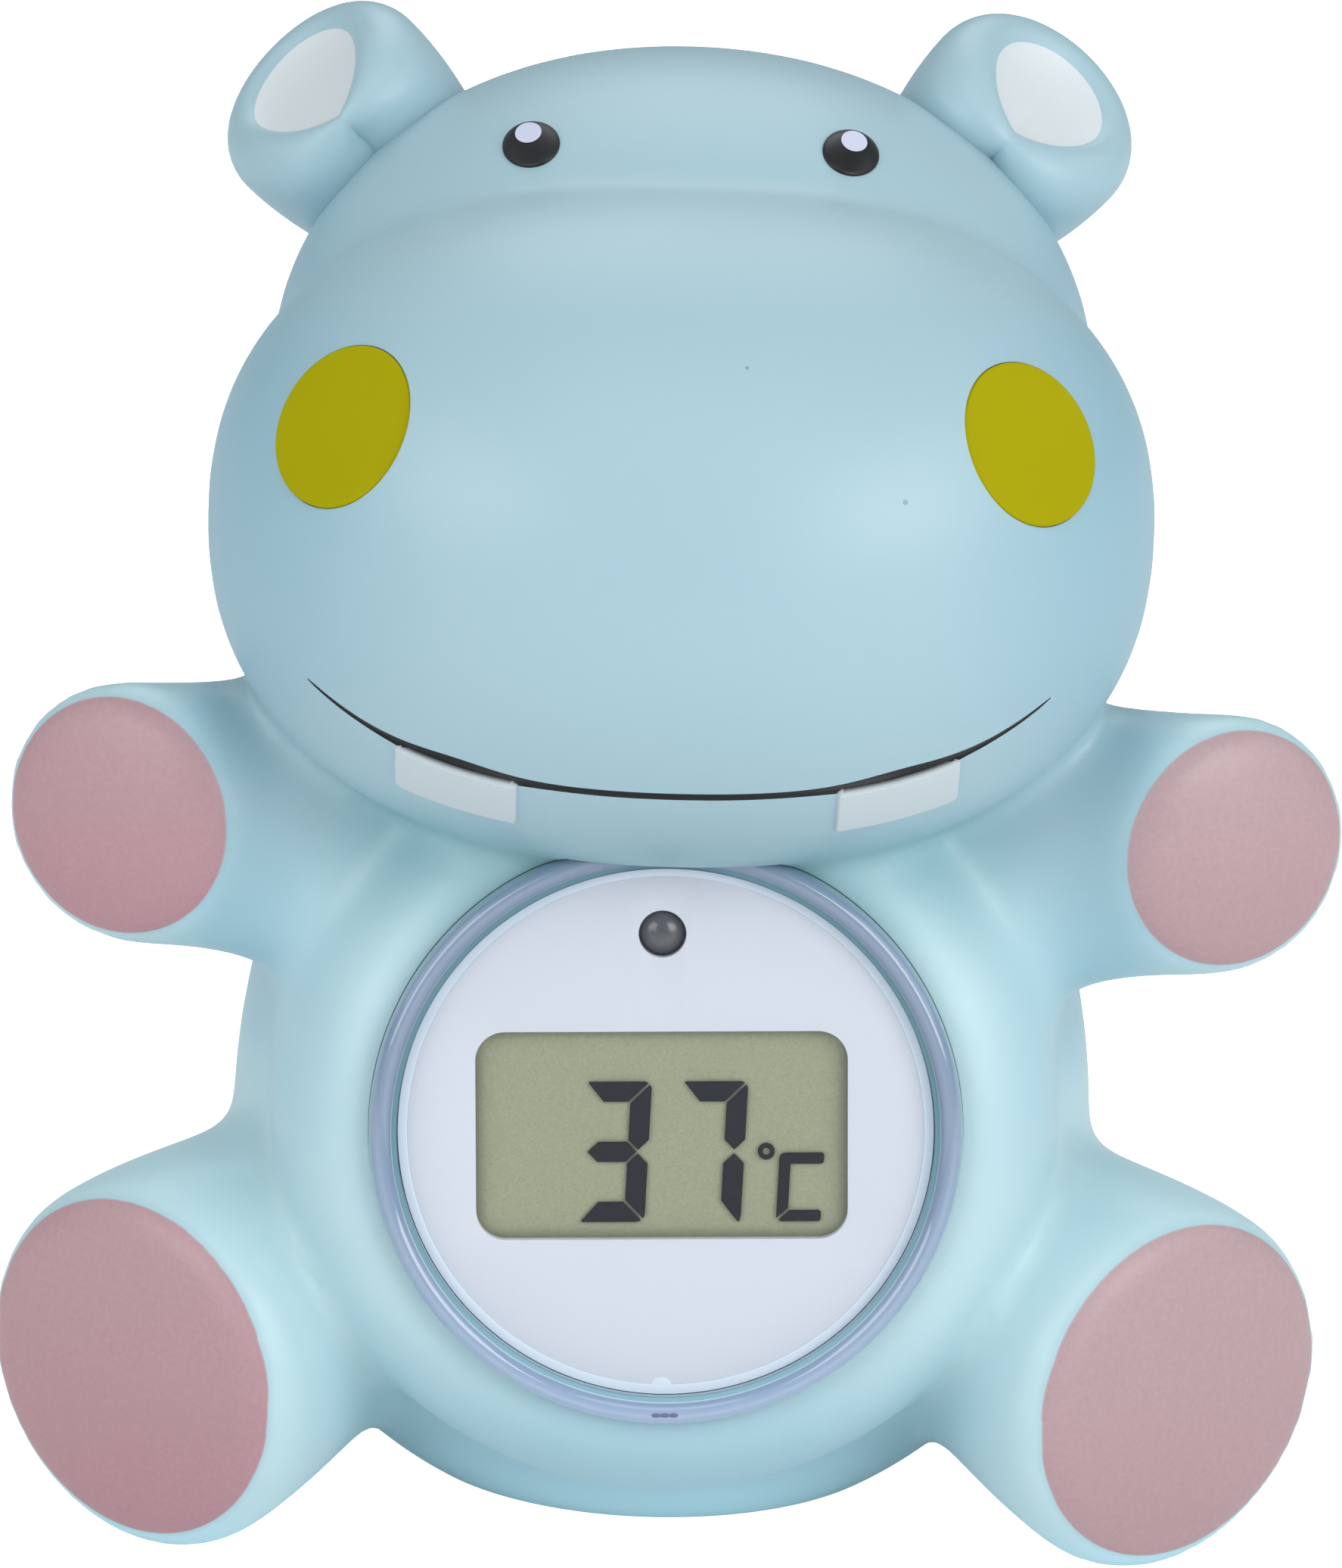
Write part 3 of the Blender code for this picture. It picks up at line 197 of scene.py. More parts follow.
# Tones of the body. The head and the torso are one vinyl, with the head's pair painted darker and the
# torso's lighter, as painted shade and light. The muzzle's sides, the chin, the low torso under the
# module and the flanks carry painted shade; the seat carries painted light from the floor below it.
HEAD_SHADED_VINYL = ((0.392, 0.562, 0.628), (0.372, 0.543, 0.608))
HEAD_SIDE_SHADE_VINYL = (0.30, 0.49, 0.58)
CHIN_SHADE_VINYL = (0.265, 0.475, 0.53)
TORSO_LIT_VINYL = ((0.525, 0.715, 0.765), (0.505, 0.695, 0.745))
TORSO_LOW_SHADE_VINYL = (0.375, 0.585, 0.665)
SEAT_LIGHT_VINYL = (0.50, 0.79, 0.88)
FLANK_SHADE_VINYL = (0.40, 0.615, 0.70)
# Pinks of the pads, left and right, at each pad's foot and top: the top pair and the right-hand pinks are
# paler, as painted sheen.
PAINTED_SHEEN_LOW_PINKS = ((0.46, 0.25, 0.282), (0.455, 0.29, 0.31))
PAINTED_SHEEN_HIGH_PINKS = ((0.49, 0.305, 0.325), (0.485, 0.335, 0.35))
# Painted shade: a darker blue line round each pad's edge, its share and its width.
PAD_SHADE_LINE = (0.25, 0.42, 0.50)
PAD_SHADE_LINE_SHARE = 0.25
PAD_EDGE = 0.08 * MM
PAD_SHADE_LINE_WIDTH = 0.5 * MM
SPECK_TONE = (0.12, 0.14, 0.15)

# Stretches over which those tones, with their painted light and shade, fade in, in millimetres: heights,
# and reaches from the middle
HEAD_HEIGHTS = (46.0, 62.0)
HEAD_SIDE_REACHES = (16.0, MUZZLE_SIZE.x / 2 / MM)
MUZZLE_LOW_HEIGHTS = (64.0, 74.0)
MUZZLE_HIGH_HEIGHTS = (103.0, 95.0)
CHIN_HEIGHTS = (66.0, 58.0)
CHIN_REACHES = (29.0, 20.0)
FOOT_HEIGHTS = (26.0, 10.0)
FOOT_REACHES = (28.0, 19.0)
SEAT_HEIGHTS = (9.0, 0.0)
FLANK_HEIGHTS = (30.0, 38.0)
FLANK_INNER_REACHES = (22.0, 31.0)
FLANK_OUTER_REACHES = (39.0, 33.0)
ARM_HEIGHTS = (78.0, 70.0)
ARM_REACHES = (33.0, 37.0)

# Tones of the display, and the ring's painted bands from its inner to its outer edge, by share of its
# width: painted refraction of what lies behind the clear ring, a thin painted highlight, and a dark line
# of painted shadow at its outer edge. The ring is painted lighter at its foot and darker at its top, as
# painted light and shade.
DISPLAY_TONES = ((0.322, 0.332, 0.207), (0.307, 0.317, 0.197))
RING_REFRACTION_BANDS = ((0.00, (0.14, 0.27, 0.34)), (0.04, (0.21, 0.39, 0.48)), (0.19, (0.23, 0.42, 0.51)),
              (0.215, (0.62, 0.74, 0.82)), (0.245, (0.24, 0.33, 0.48)), (0.60, (0.335, 0.42, 0.57)),
              (0.90, (0.285, 0.385, 0.54)), (0.965, (0.26, 0.42, 0.52)), (1.00, (0.19, 0.34, 0.41)))
RING_LOW_SHADE, RING_HIGH_SHADE = 1.12, 0.78

# Studio: each softbox's azimuth and elevation in degrees, and its power in watts
SOFTBOXES = {"right_softbox": (45.0, 25.0, 4.7), "left_softbox": (-45.0, 25.0, 3.2),
             "top_softbox": (0.0, 62.0, 1.6), "far_right_softbox": (90.0, 30.0, 1.2),
             "far_left_softbox": (-90.0, 30.0, 0.9), "back_softbox": (180.0, 50.0, 2.2)}
SOFTBOX_SIZE = 0.6
SOFTBOX_DISTANCE = 1.0
LIGHT_AIM = Vector((0.0, -0.01, 0.06))
SKY_TONE = (0.80, 0.94, 1.0)
SKY_STRENGTH = 0.28
FLOOR_REACH = 3.0
FLOOR_GLOW, FLOOR_BOUNCE = 0.82, 0.1

# Camera; the photograph's height is in pixels, and a pixel's size is at the figure
CAMERA_DEG = (-0.7, 20.0)
CAMERA_ROLL_DEG = 1.7
CAMERA_DISTANCE = 0.70
CAMERA_AIM = Vector((-0.02, 0.0, 54.35)) * MM
PHOTO_HEIGHT = 2072
PHOTO_PIXEL = 0.0583 * MM


# Mesh helpers

def link(name, data, place=None):
    made = bpy.data.objects.new(name, data)
    bpy.context.scene.collection.objects.link(made)
    if place is not None:
        made.matrix_world = place
    return made


def shade_mesh(mesh):
    """Round sides smooth and real edges sharp."""
    mesh.shade_smooth()
    mesh.set_sharp_from_angle(angle=radians(SHARP_DEG))


def finish_mesh(name, shape, finishes=(), place=None):
    """A shaded object from a bmesh, with its faces outwards."""
    bmesh.ops.recalc_face_normals(shape, faces=shape.faces)
    mesh = bpy.data.meshes.new(name)
    shape.to_mesh(mesh)
    shape.free()
    shade_mesh(mesh)
    for finish in finishes:
        mesh.materials.append(finish)
    return link(name, mesh, place)


def settle(thing, *helpers):
    """Turn an object's modifiers into its mesh and remove the objects they used."""
    bpy.context.view_layer.update()
    graph = bpy.context.evaluated_depsgraph_get()
    mesh = bpy.data.meshes.new_from_object(thing.evaluated_get(graph))
    thing.modifiers.clear()
    thing.data = mesh
    for helper in helpers:
        bpy.data.objects.remove(helper)
    return thing


def combine(target, other, how):
    step = target.modifiers.new(how.title(), 'BOOLEAN')
    step.object = other
    step.operation = how
    step.solver = 'EXACT'
    step.material_mode = 'TRANSFER'


def direction(angles, side=1):
    """Unit vector turned outwards from straight ahead (-Y) and upwards."""
    out, up = radians(angles[0]), radians(angles[1])
    return Vector((side * sin(out) * cos(up), -cos(out) * cos(up), sin(up)))


def facing(point, normal):
    """Placement with its origin at a point and its +Z along a normal."""
    forward = Vector(normal).normalized()
    across = Vector((0, 0, 1)).cross(forward).normalized()
    turn = Matrix((across, forward.cross(across), forward)).transposed().to_4x4()
    return Matrix.Translation(Vector(point)) @ turn


def looking(aim, angles, distance):
    """Placement of a light or a camera that looks at a point from a distance."""
    away = direction(angles)
    return Matrix.Translation(aim + away * distance) @ (-away).to_track_quat('-Z', 'Y').to_matrix().to_4x4()


def mirrored(point, side):
    return Vector((side * point.x, point.y, point.z))


def add_rings(shape, rings, closed_ends=True):
    """A skin through rings of the same number of points; it returns the skin's faces."""
    rows = [[shape.verts.new(point) for point in ring] for ring in rings]
    steps = len(rows[0])
    faces = []
    for lower, upper in zip(rows, rows[1:]):
        for index in range(steps):
            after = (index + 1) % steps
            faces.append(shape.faces.new((lower[index], lower[after], upper[after], upper[index])))
    if closed_ends:
        shape.faces.new(list(reversed(rows[0])))
        shape.faces.new(rows[-1])
    return faces


def circle(place, radius, steps):
    turns = [2 * pi * index / steps for index in range(steps)]
    return [place @ Vector((radius * cos(turn), radius * sin(turn), 0.0)) for turn in turns]


def add_ball(shape, centre, size, lower=None, shrink=0.0, fullness=2.0):
    """A ball stretched to a size, with a separate radius below its middle if one is given.

    A fullness over 2 fills its outline out towards a box, as seen from the front."""
    radii = size / 2 - Vector((shrink, shrink, shrink))
    made = bmesh.ops.create_uvsphere(shape, u_segments=96, v_segments=48, radius=1.0)
    for point in made["verts"]:
        across = (abs(point.co.x) ** fullness + abs(point.co.z) ** fullness) ** (2 / fullness)
        point.co /= sqrt(across + point.co.y ** 2)
        point.co = centre + Vector(value * radius for value, radius in zip(point.co, radii))
    if lower is not None:
        for point in made["verts"]:
            if point.co.z < centre.z:
                point.co.z = centre.z + (point.co.z - centre.z) * (lower - shrink) / radii.z


def turned(name, outline, finishes=(), place=None, steps=ROUND_STEPS):
    """A turned solid from (radius, height) points, or a ring if it doesn't start on the axis."""
    shape = bmesh.new()
    points = [shape.verts.new((radius, 0.0, height)) for radius, height in outline]
    pairs = list(zip(points, points[1:]))
    if outline[0][0] != 0.0:
        pairs.append((points[-1], points[0]))
    edges = [shape.edges.new(pair) for pair in pairs]
    bmesh.ops.spin(shape, geom=points + edges, cent=(0, 0, 0), axis=(0, 0, 1), dvec=(0, 0, 0),
                   angle=2 * pi, steps=steps, use_merge=True)
    bmesh.ops.remove_doubles(shape, verts=shape.verts, dist=MERGE_DISTANCE)
    return finish_mesh(name, shape, finishes, place)


def drum(name, radius, high, low, finishes=(), place=None, steps=SMALL_STEPS):
    """A turned solid with straight sides and flat ends."""
    return turned(name, [(0.0, high), (radius, high), (radius, low), (0.0, low)], finishes, place, steps)


def arc(middle_radius, middle_height, radius, start_deg, end_deg, steps):
    """Points of a round corner in an outline."""
    points = []
    for index in range(steps + 1):
        turn = radians(start_deg + (end_deg - start_deg) * index / steps)
        points.append((middle_radius + radius * cos(turn), middle_height + radius * sin(turn)))
    return points


def rounded_box(width, height, corner, middle, steps=10):
    """Points of a rectangle with round corners."""
    points = []
    for sign_x, sign_y, start in ((1, 1, 0), (-1, 1, 90), (-1, -1, 180), (1, -1, 270)):
        points += arc(middle[0] + sign_x * (width / 2 - corner), middle[1] + sign_y * (height / 2 - corner),
                      corner, start, start + 90, steps)
    return points


def add_plate(shape, points, low, high):
    """A flat plate with a given outline between two heights."""
    add_rings(shape, [[(x, y, low) for x, y in points], [(x, y, high) for x, y in points]])


def plate(name, points, low, high, finishes=(), place=None):
    shape = bmesh.new()
    add_plate(shape, points, low, high)
    return finish_mesh(name, shape, finishes, place)


# Node helpers

def feed(tree, socket, given):
    """Give a socket a value, a colour or another node's output."""
    if isinstance(given, bpy.types.NodeSocket):
        tree.links.new(given, socket)
    elif socket.type == 'RGBA':
        socket.default_value = (*given, 1.0)
    else:
        socket.default_value = given


def add_node(tree, kind, *inputs, **settings):
    """A node whose first inputs are fed in order; a setting that starts with in_ feeds one by name."""
    made = tree.nodes.new("ShaderNode" + kind)
    for key, value in settings.items():
        if key.startswith("in_"):
            feed(tree, made.inputs[key[3:].replace("_", " ")], value)
        else:
            setattr(made, key, value)
    for socket, given in zip(made.inputs, inputs):
        feed(tree, socket, given)
    return made


def calculate(tree, how, *values):
    """The result of a math step on values or outputs."""
    return add_node(tree, "Math", *values, operation=how).outputs[0]


def product(tree, first, *others):
    for other in others:
        first = calculate(tree, 'MULTIPLY', first, other)
    return first


def stretch(tree, value, start, end, low=0.0, high=1.0, shape='LINEAR'):
    """A value carried from the stretch between start and end to the one between low and high."""
    return add_node(tree, "MapRange", value, start, end, low, high, interpolation_type=shape).outputs[0]


def fade(tree, value, stretch_mm):
    """A share that grows smoothly from 0 to 1 over a stretch given in millimetres."""
    start, end = stretch_mm
    return stretch(tree, value, start * MM, end * MM, shape='SMOOTHSTEP')


def here(tree):
    """The shaded point, in the object's own space."""
    return add_node(tree, "TexCoord").outputs["Object"]


def split(tree, vector):
    return add_node(tree, "SeparateXYZ", vector).outputs


def mix_colours(tree, share, first, second, how='MIX'):
    """A colour mix; each of share, first and second is a value or an output."""
    mix = add_node(tree, "Mix", data_type='RGBA', blend_type=how)
    for socket, given in ((mix.inputs[0], share), (mix.inputs[6], first), (mix.inputs[7], second)):
        feed(tree, socket, given)
    return mix.outputs[2]


def toned(tree, colour, shade):
    """A colour made lighter or darker by a shade."""
    return mix_colours(tree, 1.0, colour, shade, 'MULTIPLY')


def new_group(name, inputs, outputs):
    """A node group with named inputs and outputs, each (name, type, value)."""
    tree = bpy.data.node_groups.new(name, 'ShaderNodeTree')
    for label, kind, value in inputs:
        socket = tree.interface.new_socket(label, in_out='INPUT', socket_type='NodeSocket' + kind)
        if value is not None:
            socket.default_value = value
    for label, kind in outputs:
        tree.interface.new_socket(label, in_out='OUTPUT', socket_type='NodeSocket' + kind)
    return tree, tree.nodes.new("NodeGroupInput"), tree.nodes.new("NodeGroupOutput")


def make_grain_group():
    """Fine pitted grain of a mould and a slow drift of tone, both in object space."""
    sizes = [("Grain Size", 'Float', 0.3), ("Drift Size", 'Float', 12.0)]
    tree, given, made = new_group("moulded_grain", sizes, [("Height", 'Float'), ("Drift", 'Float')])
    point = here(tree)
    for label, output, detail in (("Grain Size", "Height", 2.0), ("Drift Size", "Drift", 1.5)):
        cells = calculate(tree, 'DIVIDE', 1 / MM, given.outputs[label])
        noise = add_node(tree, "TexNoise", in_Vector=point, in_Scale=cells, in_Detail=detail,
                         in_Roughness=0.5)
        feed(tree, made.inputs[output], noise.outputs["Fac"])
    return tree


def make_speck_group():
    """Scattered dust specks: a mask that is 1 on a few small dots."""
    tree, given, made = new_group("dust_specks", [("Spacing", 'Float', 6.0), ("Dot Size", 'Float', 0.03)],
                                  [("Mask", 'Float')])
    cells = calculate(tree, 'DIVIDE', 1 / MM, given.outputs["Spacing"])
    dots = add_node(tree, "TexVoronoi", feature='F1', in_Vector=here(tree), in_Scale=cells)
    inside = calculate(tree, 'LESS_THAN', dots.outputs["Distance"], given.outputs["Dot Size"])
    feed(tree, made.inputs["Mask"], inside)
    return tree


def make_paint_group():
    """A round painted patch on a limb's end: its mask, the thin line of painted shade at its edge, and
    how far above its middle a painted point lies, in radii."""
    tree, given, made = new_group("round_paint", [
        ("Centre", 'Vector', None), ("Axis", 'Vector', None), ("Radius", 'Float', 0.01),
        ("Depth", 'Float', 0.005)], [("Mask", 'Float'), ("Edge", 'Float'), ("Rise", 'Float')])
    centre, axis, radius, depth = given.outputs[:4]
    offset = add_node(tree, "VectorMath", here(tree), centre, operation='SUBTRACT').outputs[0]
    along = add_node(tree, "VectorMath", offset, axis, operation='DOT_PRODUCT').outputs["Value"]
    foot = add_node(tree, "VectorMath", axis, operation='SCALE', in_Scale=along).outputs[0]
    across = add_node(tree, "VectorMath", offset, foot, operation='DISTANCE').outputs["Value"]
    beyond = calculate(tree, 'SUBTRACT', across, radius)
    front = calculate(tree, 'GREATER_THAN', calculate(tree, 'ADD', along, depth), 0.0)
    mask = product(tree, stretch(tree, beyond, PAD_EDGE, -PAD_EDGE, shape='SMOOTHSTEP'), front)
    # Painted shade: a line that is darkest on the patch's edge and fades out over its width.
    line = stretch(tree, calculate(tree, 'ABSOLUTE', beyond), 0.0, PAD_SHADE_LINE_WIDTH, 1.0, 0.0, 'SMOOTHSTEP')
    rise = calculate(tree, 'DIVIDE', split(tree, offset)[2], radius)
    for label, value in (("Mask", mask), ("Edge", product(tree, line, front)),
                         ("Rise", product(tree, rise, mask))):
        feed(tree, made.inputs[label], value)
    return tree


GRAIN = make_grain_group()
SPECKS = make_speck_group()
ROUND_PAINT = make_paint_group()


def place_group(tree, group, **values):
    made = tree.nodes.new("ShaderNodeGroup")
    made.node_tree = group
    for label, value in values.items():
        made.inputs[label.replace("_", " ")].default_value = value
    return made.outputs


def new_material(name, roughness, coat=0.0, coat_roughness=0.1, subsurface=0.0, metallic=0.0,
                 specular=0.5, alpha=1.0):
    """A material with plain values on its shader's own sockets."""
    made = bpy.data.materials.new(name)
    made.use_nodes = True
    shader = made.node_tree.nodes["Principled BSDF"]
    for label, value in (("Roughness", roughness), ("Coat Weight", coat), ("Coat Roughness", coat_roughness),
                         ("Subsurface Weight", subsurface), ("Metallic", metallic), ("Alpha", alpha),
                         ("Specular IOR Level", specular), ("Subsurface Radius", (1.0, 1.0, 1.0)),
                         ("Subsurface Scale", 1.2 * MM)):
        shader.inputs[label].default_value = value
    return made, made.node_tree, shader


def moulded(name, colour, shaded, roughness, grain_size=0.3, grain_depth=0.004, drift_size=14.0,
            roughness_drift=0.08, speck_share=0.0, **looks):
    """A moulded or painted finish: two near tones, pitted grain and uneven gloss."""
    made, tree, shader = new_material(name, roughness, **looks)
    grain = place_group(tree, GRAIN, Grain_Size=grain_size, Drift_Size=drift_size)
    tone = mix_colours(tree, grain["Drift"], colour, shaded)
    if speck_share:
        specks = place_group(tree, SPECKS, Spacing=9.0, Dot_Size=0.022)
        tone = mix_colours(tree, product(tree, specks["Mask"], speck_share), tone, SPECK_TONE)
    gloss = stretch(tree, grain["Drift"], 0.0, 1.0, roughness - roughness_drift, roughness + roughness_drift)
    bump = add_node(tree, "Bump", in_Strength=1.0, in_Distance=grain_depth * MM, in_Height=grain["Height"])
    for label, value in (("Base Color", tone), ("Roughness", gloss), ("Normal", bump.outputs[0])):
        feed(tree, shader.inputs[label], value)
    return made, tree, shader, tone


# Finishes

def body_vinyl():
    """Satin light-blue vinyl with the painted soles and paws, and painted light and shade laid into its
    tone by place: a darker head with shaded sides and chin, a lighter torso with a shaded low middle,
    shaded flanks and a lit seat, paler sheen on the pads and a shade line round them.
    """
    made, tree, shader, head = moulded("light_blue_vinyl", *HEAD_SHADED_VINYL, 0.42, grain_size=0.35,
                                       grain_depth=0.008, drift_size=22.0, speck_share=0.5, subsurface=0.15)
    across, _, height = split(tree, here(tree))
    reach = calculate(tree, 'ABSOLUTE', across)
    # Painted shade: darker towards the muzzle's sides, and on the chin under it.
    on_side = product(tree, fade(tree, reach, HEAD_SIDE_REACHES), fade(tree, height, MUZZLE_LOW_HEIGHTS),
                      fade(tree, height, MUZZLE_HIGH_HEIGHTS))
    on_chin = product(tree, fade(tree, height, CHIN_HEIGHTS), fade(tree, reach, CHIN_REACHES))
    head = mix_colours(tree, on_chin, mix_colours(tree, on_side, head, HEAD_SIDE_SHADE_VINYL), CHIN_SHADE_VINYL)

    # The torso is the head's vinyl painted lighter, as painted light.
    drift = place_group(tree, GRAIN, Grain_Size=0.35, Drift_Size=18.0)["Drift"]
    torso = mix_colours(tree, drift, *TORSO_LIT_VINYL)
    # Painted shade low on the torso under the module, painted light on the seat just above the floor, and
    # painted shade on the flanks.
    under_module = product(tree, fade(tree, height, FOOT_HEIGHTS), fade(tree, reach, FOOT_REACHES))
    torso = mix_colours(tree, under_module, torso, TORSO_LOW_SHADE_VINYL)
    torso = mix_colours(tree, fade(tree, height, SEAT_HEIGHTS), torso, SEAT_LIGHT_VINYL)
    on_flank = product(tree, fade(tree, height, FLANK_HEIGHTS), fade(tree, reach, FLANK_INNER_REACHES),
                       fade(tree, reach, FLANK_OUTER_REACHES))
    torso = mix_colours(tree, on_flank, torso, FLANK_SHADE_VINYL)
    # The arms keep the torso's lighter painted tone rather than the head's darker one.
    on_arm = product(tree, fade(tree, height, ARM_HEIGHTS), fade(tree, reach, ARM_REACHES))
    on_head = product(tree, fade(tree, height, HEAD_HEIGHTS), calculate(tree, 'SUBTRACT', 1.0, on_arm))
    skin = mix_colours(tree, on_head, torso, head)

    painted, pad_shade_lines, rise = 0.0, 0.0, 0.0
    for side, _ in SIDES:
        for tips, pad, radius, lift in ((ARM_TIPS, ARM_PAD_DEG, ARM_PAINT_RADIUS, ARM_PAINT_RISE),
                                        (LEG_TIPS, LEG_PAD_DEG, LEG_PAINT_RADIUS, LEG_PAINT_RISE)):
            patch = place_group(tree, ROUND_PAINT, Centre=tips[side] + Vector((0.0, 0.0, lift)),
                                Axis=direction(pad, side), Radius=radius)
            painted = calculate(tree, 'MAXIMUM', patch["Mask"], painted)
            pad_shade_lines = calculate(tree, 'MAXIMUM', patch["Edge"], pad_shade_lines)
            rise = calculate(tree, 'ADD', patch["Rise"], rise)
    # Painted sheen: paler pink towards each pad's top and towards the right-hand pads.
    to_right = stretch(tree, across, -MUZZLE_SIZE.x / 4, MUZZLE_SIZE.x / 4, shape='SMOOTHSTEP')
    pinks = [mix_colours(tree, to_right, left, right) for left, right in (PAINTED_SHEEN_LOW_PINKS, PAINTED_SHEEN_HIGH_PINKS)]
    pink = mix_colours(tree, stretch(tree, rise, -1.1, 1.1, shape='SMOOTHSTEP'), *pinks)
    peel = place_group(tree, GRAIN, Grain_Size=0.42, Drift_Size=4.0)["Height"]
    pink = toned(tree, pink, stretch(tree, peel, 0.3, 0.7, 0.965, 1.035))
    # Painted shade: a darker blue line round each pad's edge.
    skin = mix_colours(tree, product(tree, pad_shade_lines, PAD_SHADE_LINE_SHARE), skin, PAD_SHADE_LINE)
    feed(tree, shader.inputs["Base Color"], mix_colours(tree, painted, skin, pink))
    return made


def plain_finishes():
    """The finishes that follow one pattern, by name."""
    rows = {
        "white_paint": ((0.72, 0.76, 0.78), (0.66, 0.71, 0.74), 0.5, dict(grain_depth=0.004)),
        "tooth_paint": ((0.60, 0.67, 0.70), (0.55, 0.62, 0.66), 0.55, dict(grain_depth=0.004, specular=0.3)),
        "mouth_paint": ((0.018, 0.020, 0.022), (0.03, 0.032, 0.035), 0.5, dict(grain_depth=0.003)),
        "eye_paint": ((0.010, 0.010, 0.011), (0.022, 0.022, 0.022), 0.38,
                      dict(grain_size=0.15, grain_depth=0.004, specular=0.35)),
        "pupil_paint": ((0.66, 0.68, 0.84), (0.60, 0.62, 0.80), 0.45,
                        dict(grain_size=0.2, grain_depth=0.002)),
        "olive_vinyl": ((0.41, 0.365, 0.001), (0.38, 0.34, 0.001), 0.6,
                        dict(grain_size=0.4, grain_depth=0.006, specular=0.06)),
        "face_white": ((0.67, 0.69, 0.76), (0.64, 0.67, 0.74), 0.42, dict(grain_size=0.25, drift_size=30.0)),
        "lip_blue": ((0.70, 0.78, 0.88), (0.66, 0.75, 0.86), 0.4, dict(grain_depth=0.001)),
        "digit_ink": ((0.008, 0.008, 0.008), (0.006, 0.006, 0.006), 0.6,
                      dict(grain_depth=0.001, specular=0.1)),
        "light_smoked": ((0.055, 0.056, 0.060), (0.075, 0.076, 0.08), 0.3,
                         dict(coat=0.6, coat_roughness=0.2)),
        "gate_mark": ((0.12, 0.14, 0.24), (0.16, 0.18, 0.30), 0.4, dict(grain_depth=0.001)),
        "grey_plastic": ((0.55, 0.57, 0.60), (0.50, 0.52, 0.55), 0.5, {}),
        "black_rubber": ((0.03, 0.03, 0.03), (0.045, 0.045, 0.045), 0.7, dict(grain_size=0.2)),
        "green_board": ((0.02, 0.16, 0.06), (0.03, 0.20, 0.08), 0.35, dict(grain_size=0.5)),
        "black_epoxy": ((0.02, 0.02, 0.02), (0.03, 0.03, 0.03), 0.3, {}),
        "steel": ((0.62, 0.62, 0.63), (0.55, 0.55, 0.56), 0.28, dict(metallic=1.0, grain_size=0.15)),
        "reflector_film": ((0.75, 0.76, 0.74), (0.70, 0.71, 0.69), 0.3, dict(metallic=0.6)),
        "clear_window": ((0.75, 0.80, 0.92), (0.70, 0.76, 0.90), 0.06,
                         dict(grain_size=3.0, grain_depth=0.001, roughness_drift=0.02, alpha=0.02,
                              specular=0.25)),
    }
    return {name: moulded(name, light, deep, rough, **looks)[0]
            for name, (light, deep, rough, looks) in rows.items()}


def display_finish():
    """Grey-green display with a fine sparkle of grain, and painted shade that darkens it softly along its
    edges, where its recess shades it.
    """
    made, tree, shader, tone = moulded("display_grey_green", *DISPLAY_TONES, 0.5, grain_size=0.08,
                                       grain_depth=0.001, drift_size=18.0)
    speckle = place_group(tree, GRAIN, Grain_Size=0.16, Drift_Size=0.35)["Height"]
    tone = toned(tree, tone, stretch(tree, speckle, 0.3, 0.7, 0.9, 1.08))
    # Painted shade: darker within about a millimetre of the display's edges.
    depths = []
    for value, middle, size in zip(split(tree, here(tree)), DISPLAY_MIDDLE, DISPLAY_SIZE):
        off = calculate(tree, 'ABSOLUTE', calculate(tree, 'SUBTRACT', value, middle))
        depths.append(calculate(tree, 'SUBTRACT', size / 2, off))
    inward = calculate(tree, 'SMOOTH_MIN', *depths, 1.2 * MM)
    shade = stretch(tree, inward, -0.2 * MM, 0.9 * MM, 0.62, 1.0, 'SMOOTHSTEP')
    feed(tree, shader.inputs["Base Color"], toned(tree, tone, shade))
    return made


def ring_finish():
    """Clear blue-grey ring, painted in bands that follow the distance from the module's axis: painted
    refraction of what lies behind it, a thin painted highlight, a painted shadow line at its outer edge, and
    painted shade that darkens it towards its top.
    """
    made, tree, shader, _ = moulded("clear_ring", (0.36, 0.42, 0.60), (0.32, 0.38, 0.56), 0.12,
                                    grain_size=1.5, grain_depth=0.002, roughness_drift=0.03, coat=0.8,
                                    coat_roughness=0.03)
    across, rise, _ = split(tree, here(tree))
    flat = add_node(tree, "CombineXYZ", across, rise).outputs[0]
    radius = add_node(tree, "VectorMath", flat, operation='LENGTH').outputs["Value"]
    # Painted refraction, highlight and shadow, as bands by distance from the axis.
    ramp = add_node(tree, "ValToRGB", stretch(tree, radius, LIP_OUTER, RING_RADIUS))
    stops = ramp.color_ramp.elements
    while len(stops) < len(RING_REFRACTION_BANDS):
        stops.new(0.5)
    for stop, (share, colour) in zip(stops, RING_REFRACTION_BANDS):
        stop.position = share
        stop.color = (*colour, 1.0)
    # Painted light and shade: lighter towards the ring's foot, darker towards its top.
    shade = stretch(tree, rise, -RING_RADIUS, 0.2 * RING_RADIUS, RING_LOW_SHADE, RING_HIGH_SHADE)
    feed(tree, shader.inputs["Base Color"], toned(tree, ramp.outputs[0], shade))
    return made


# The figure

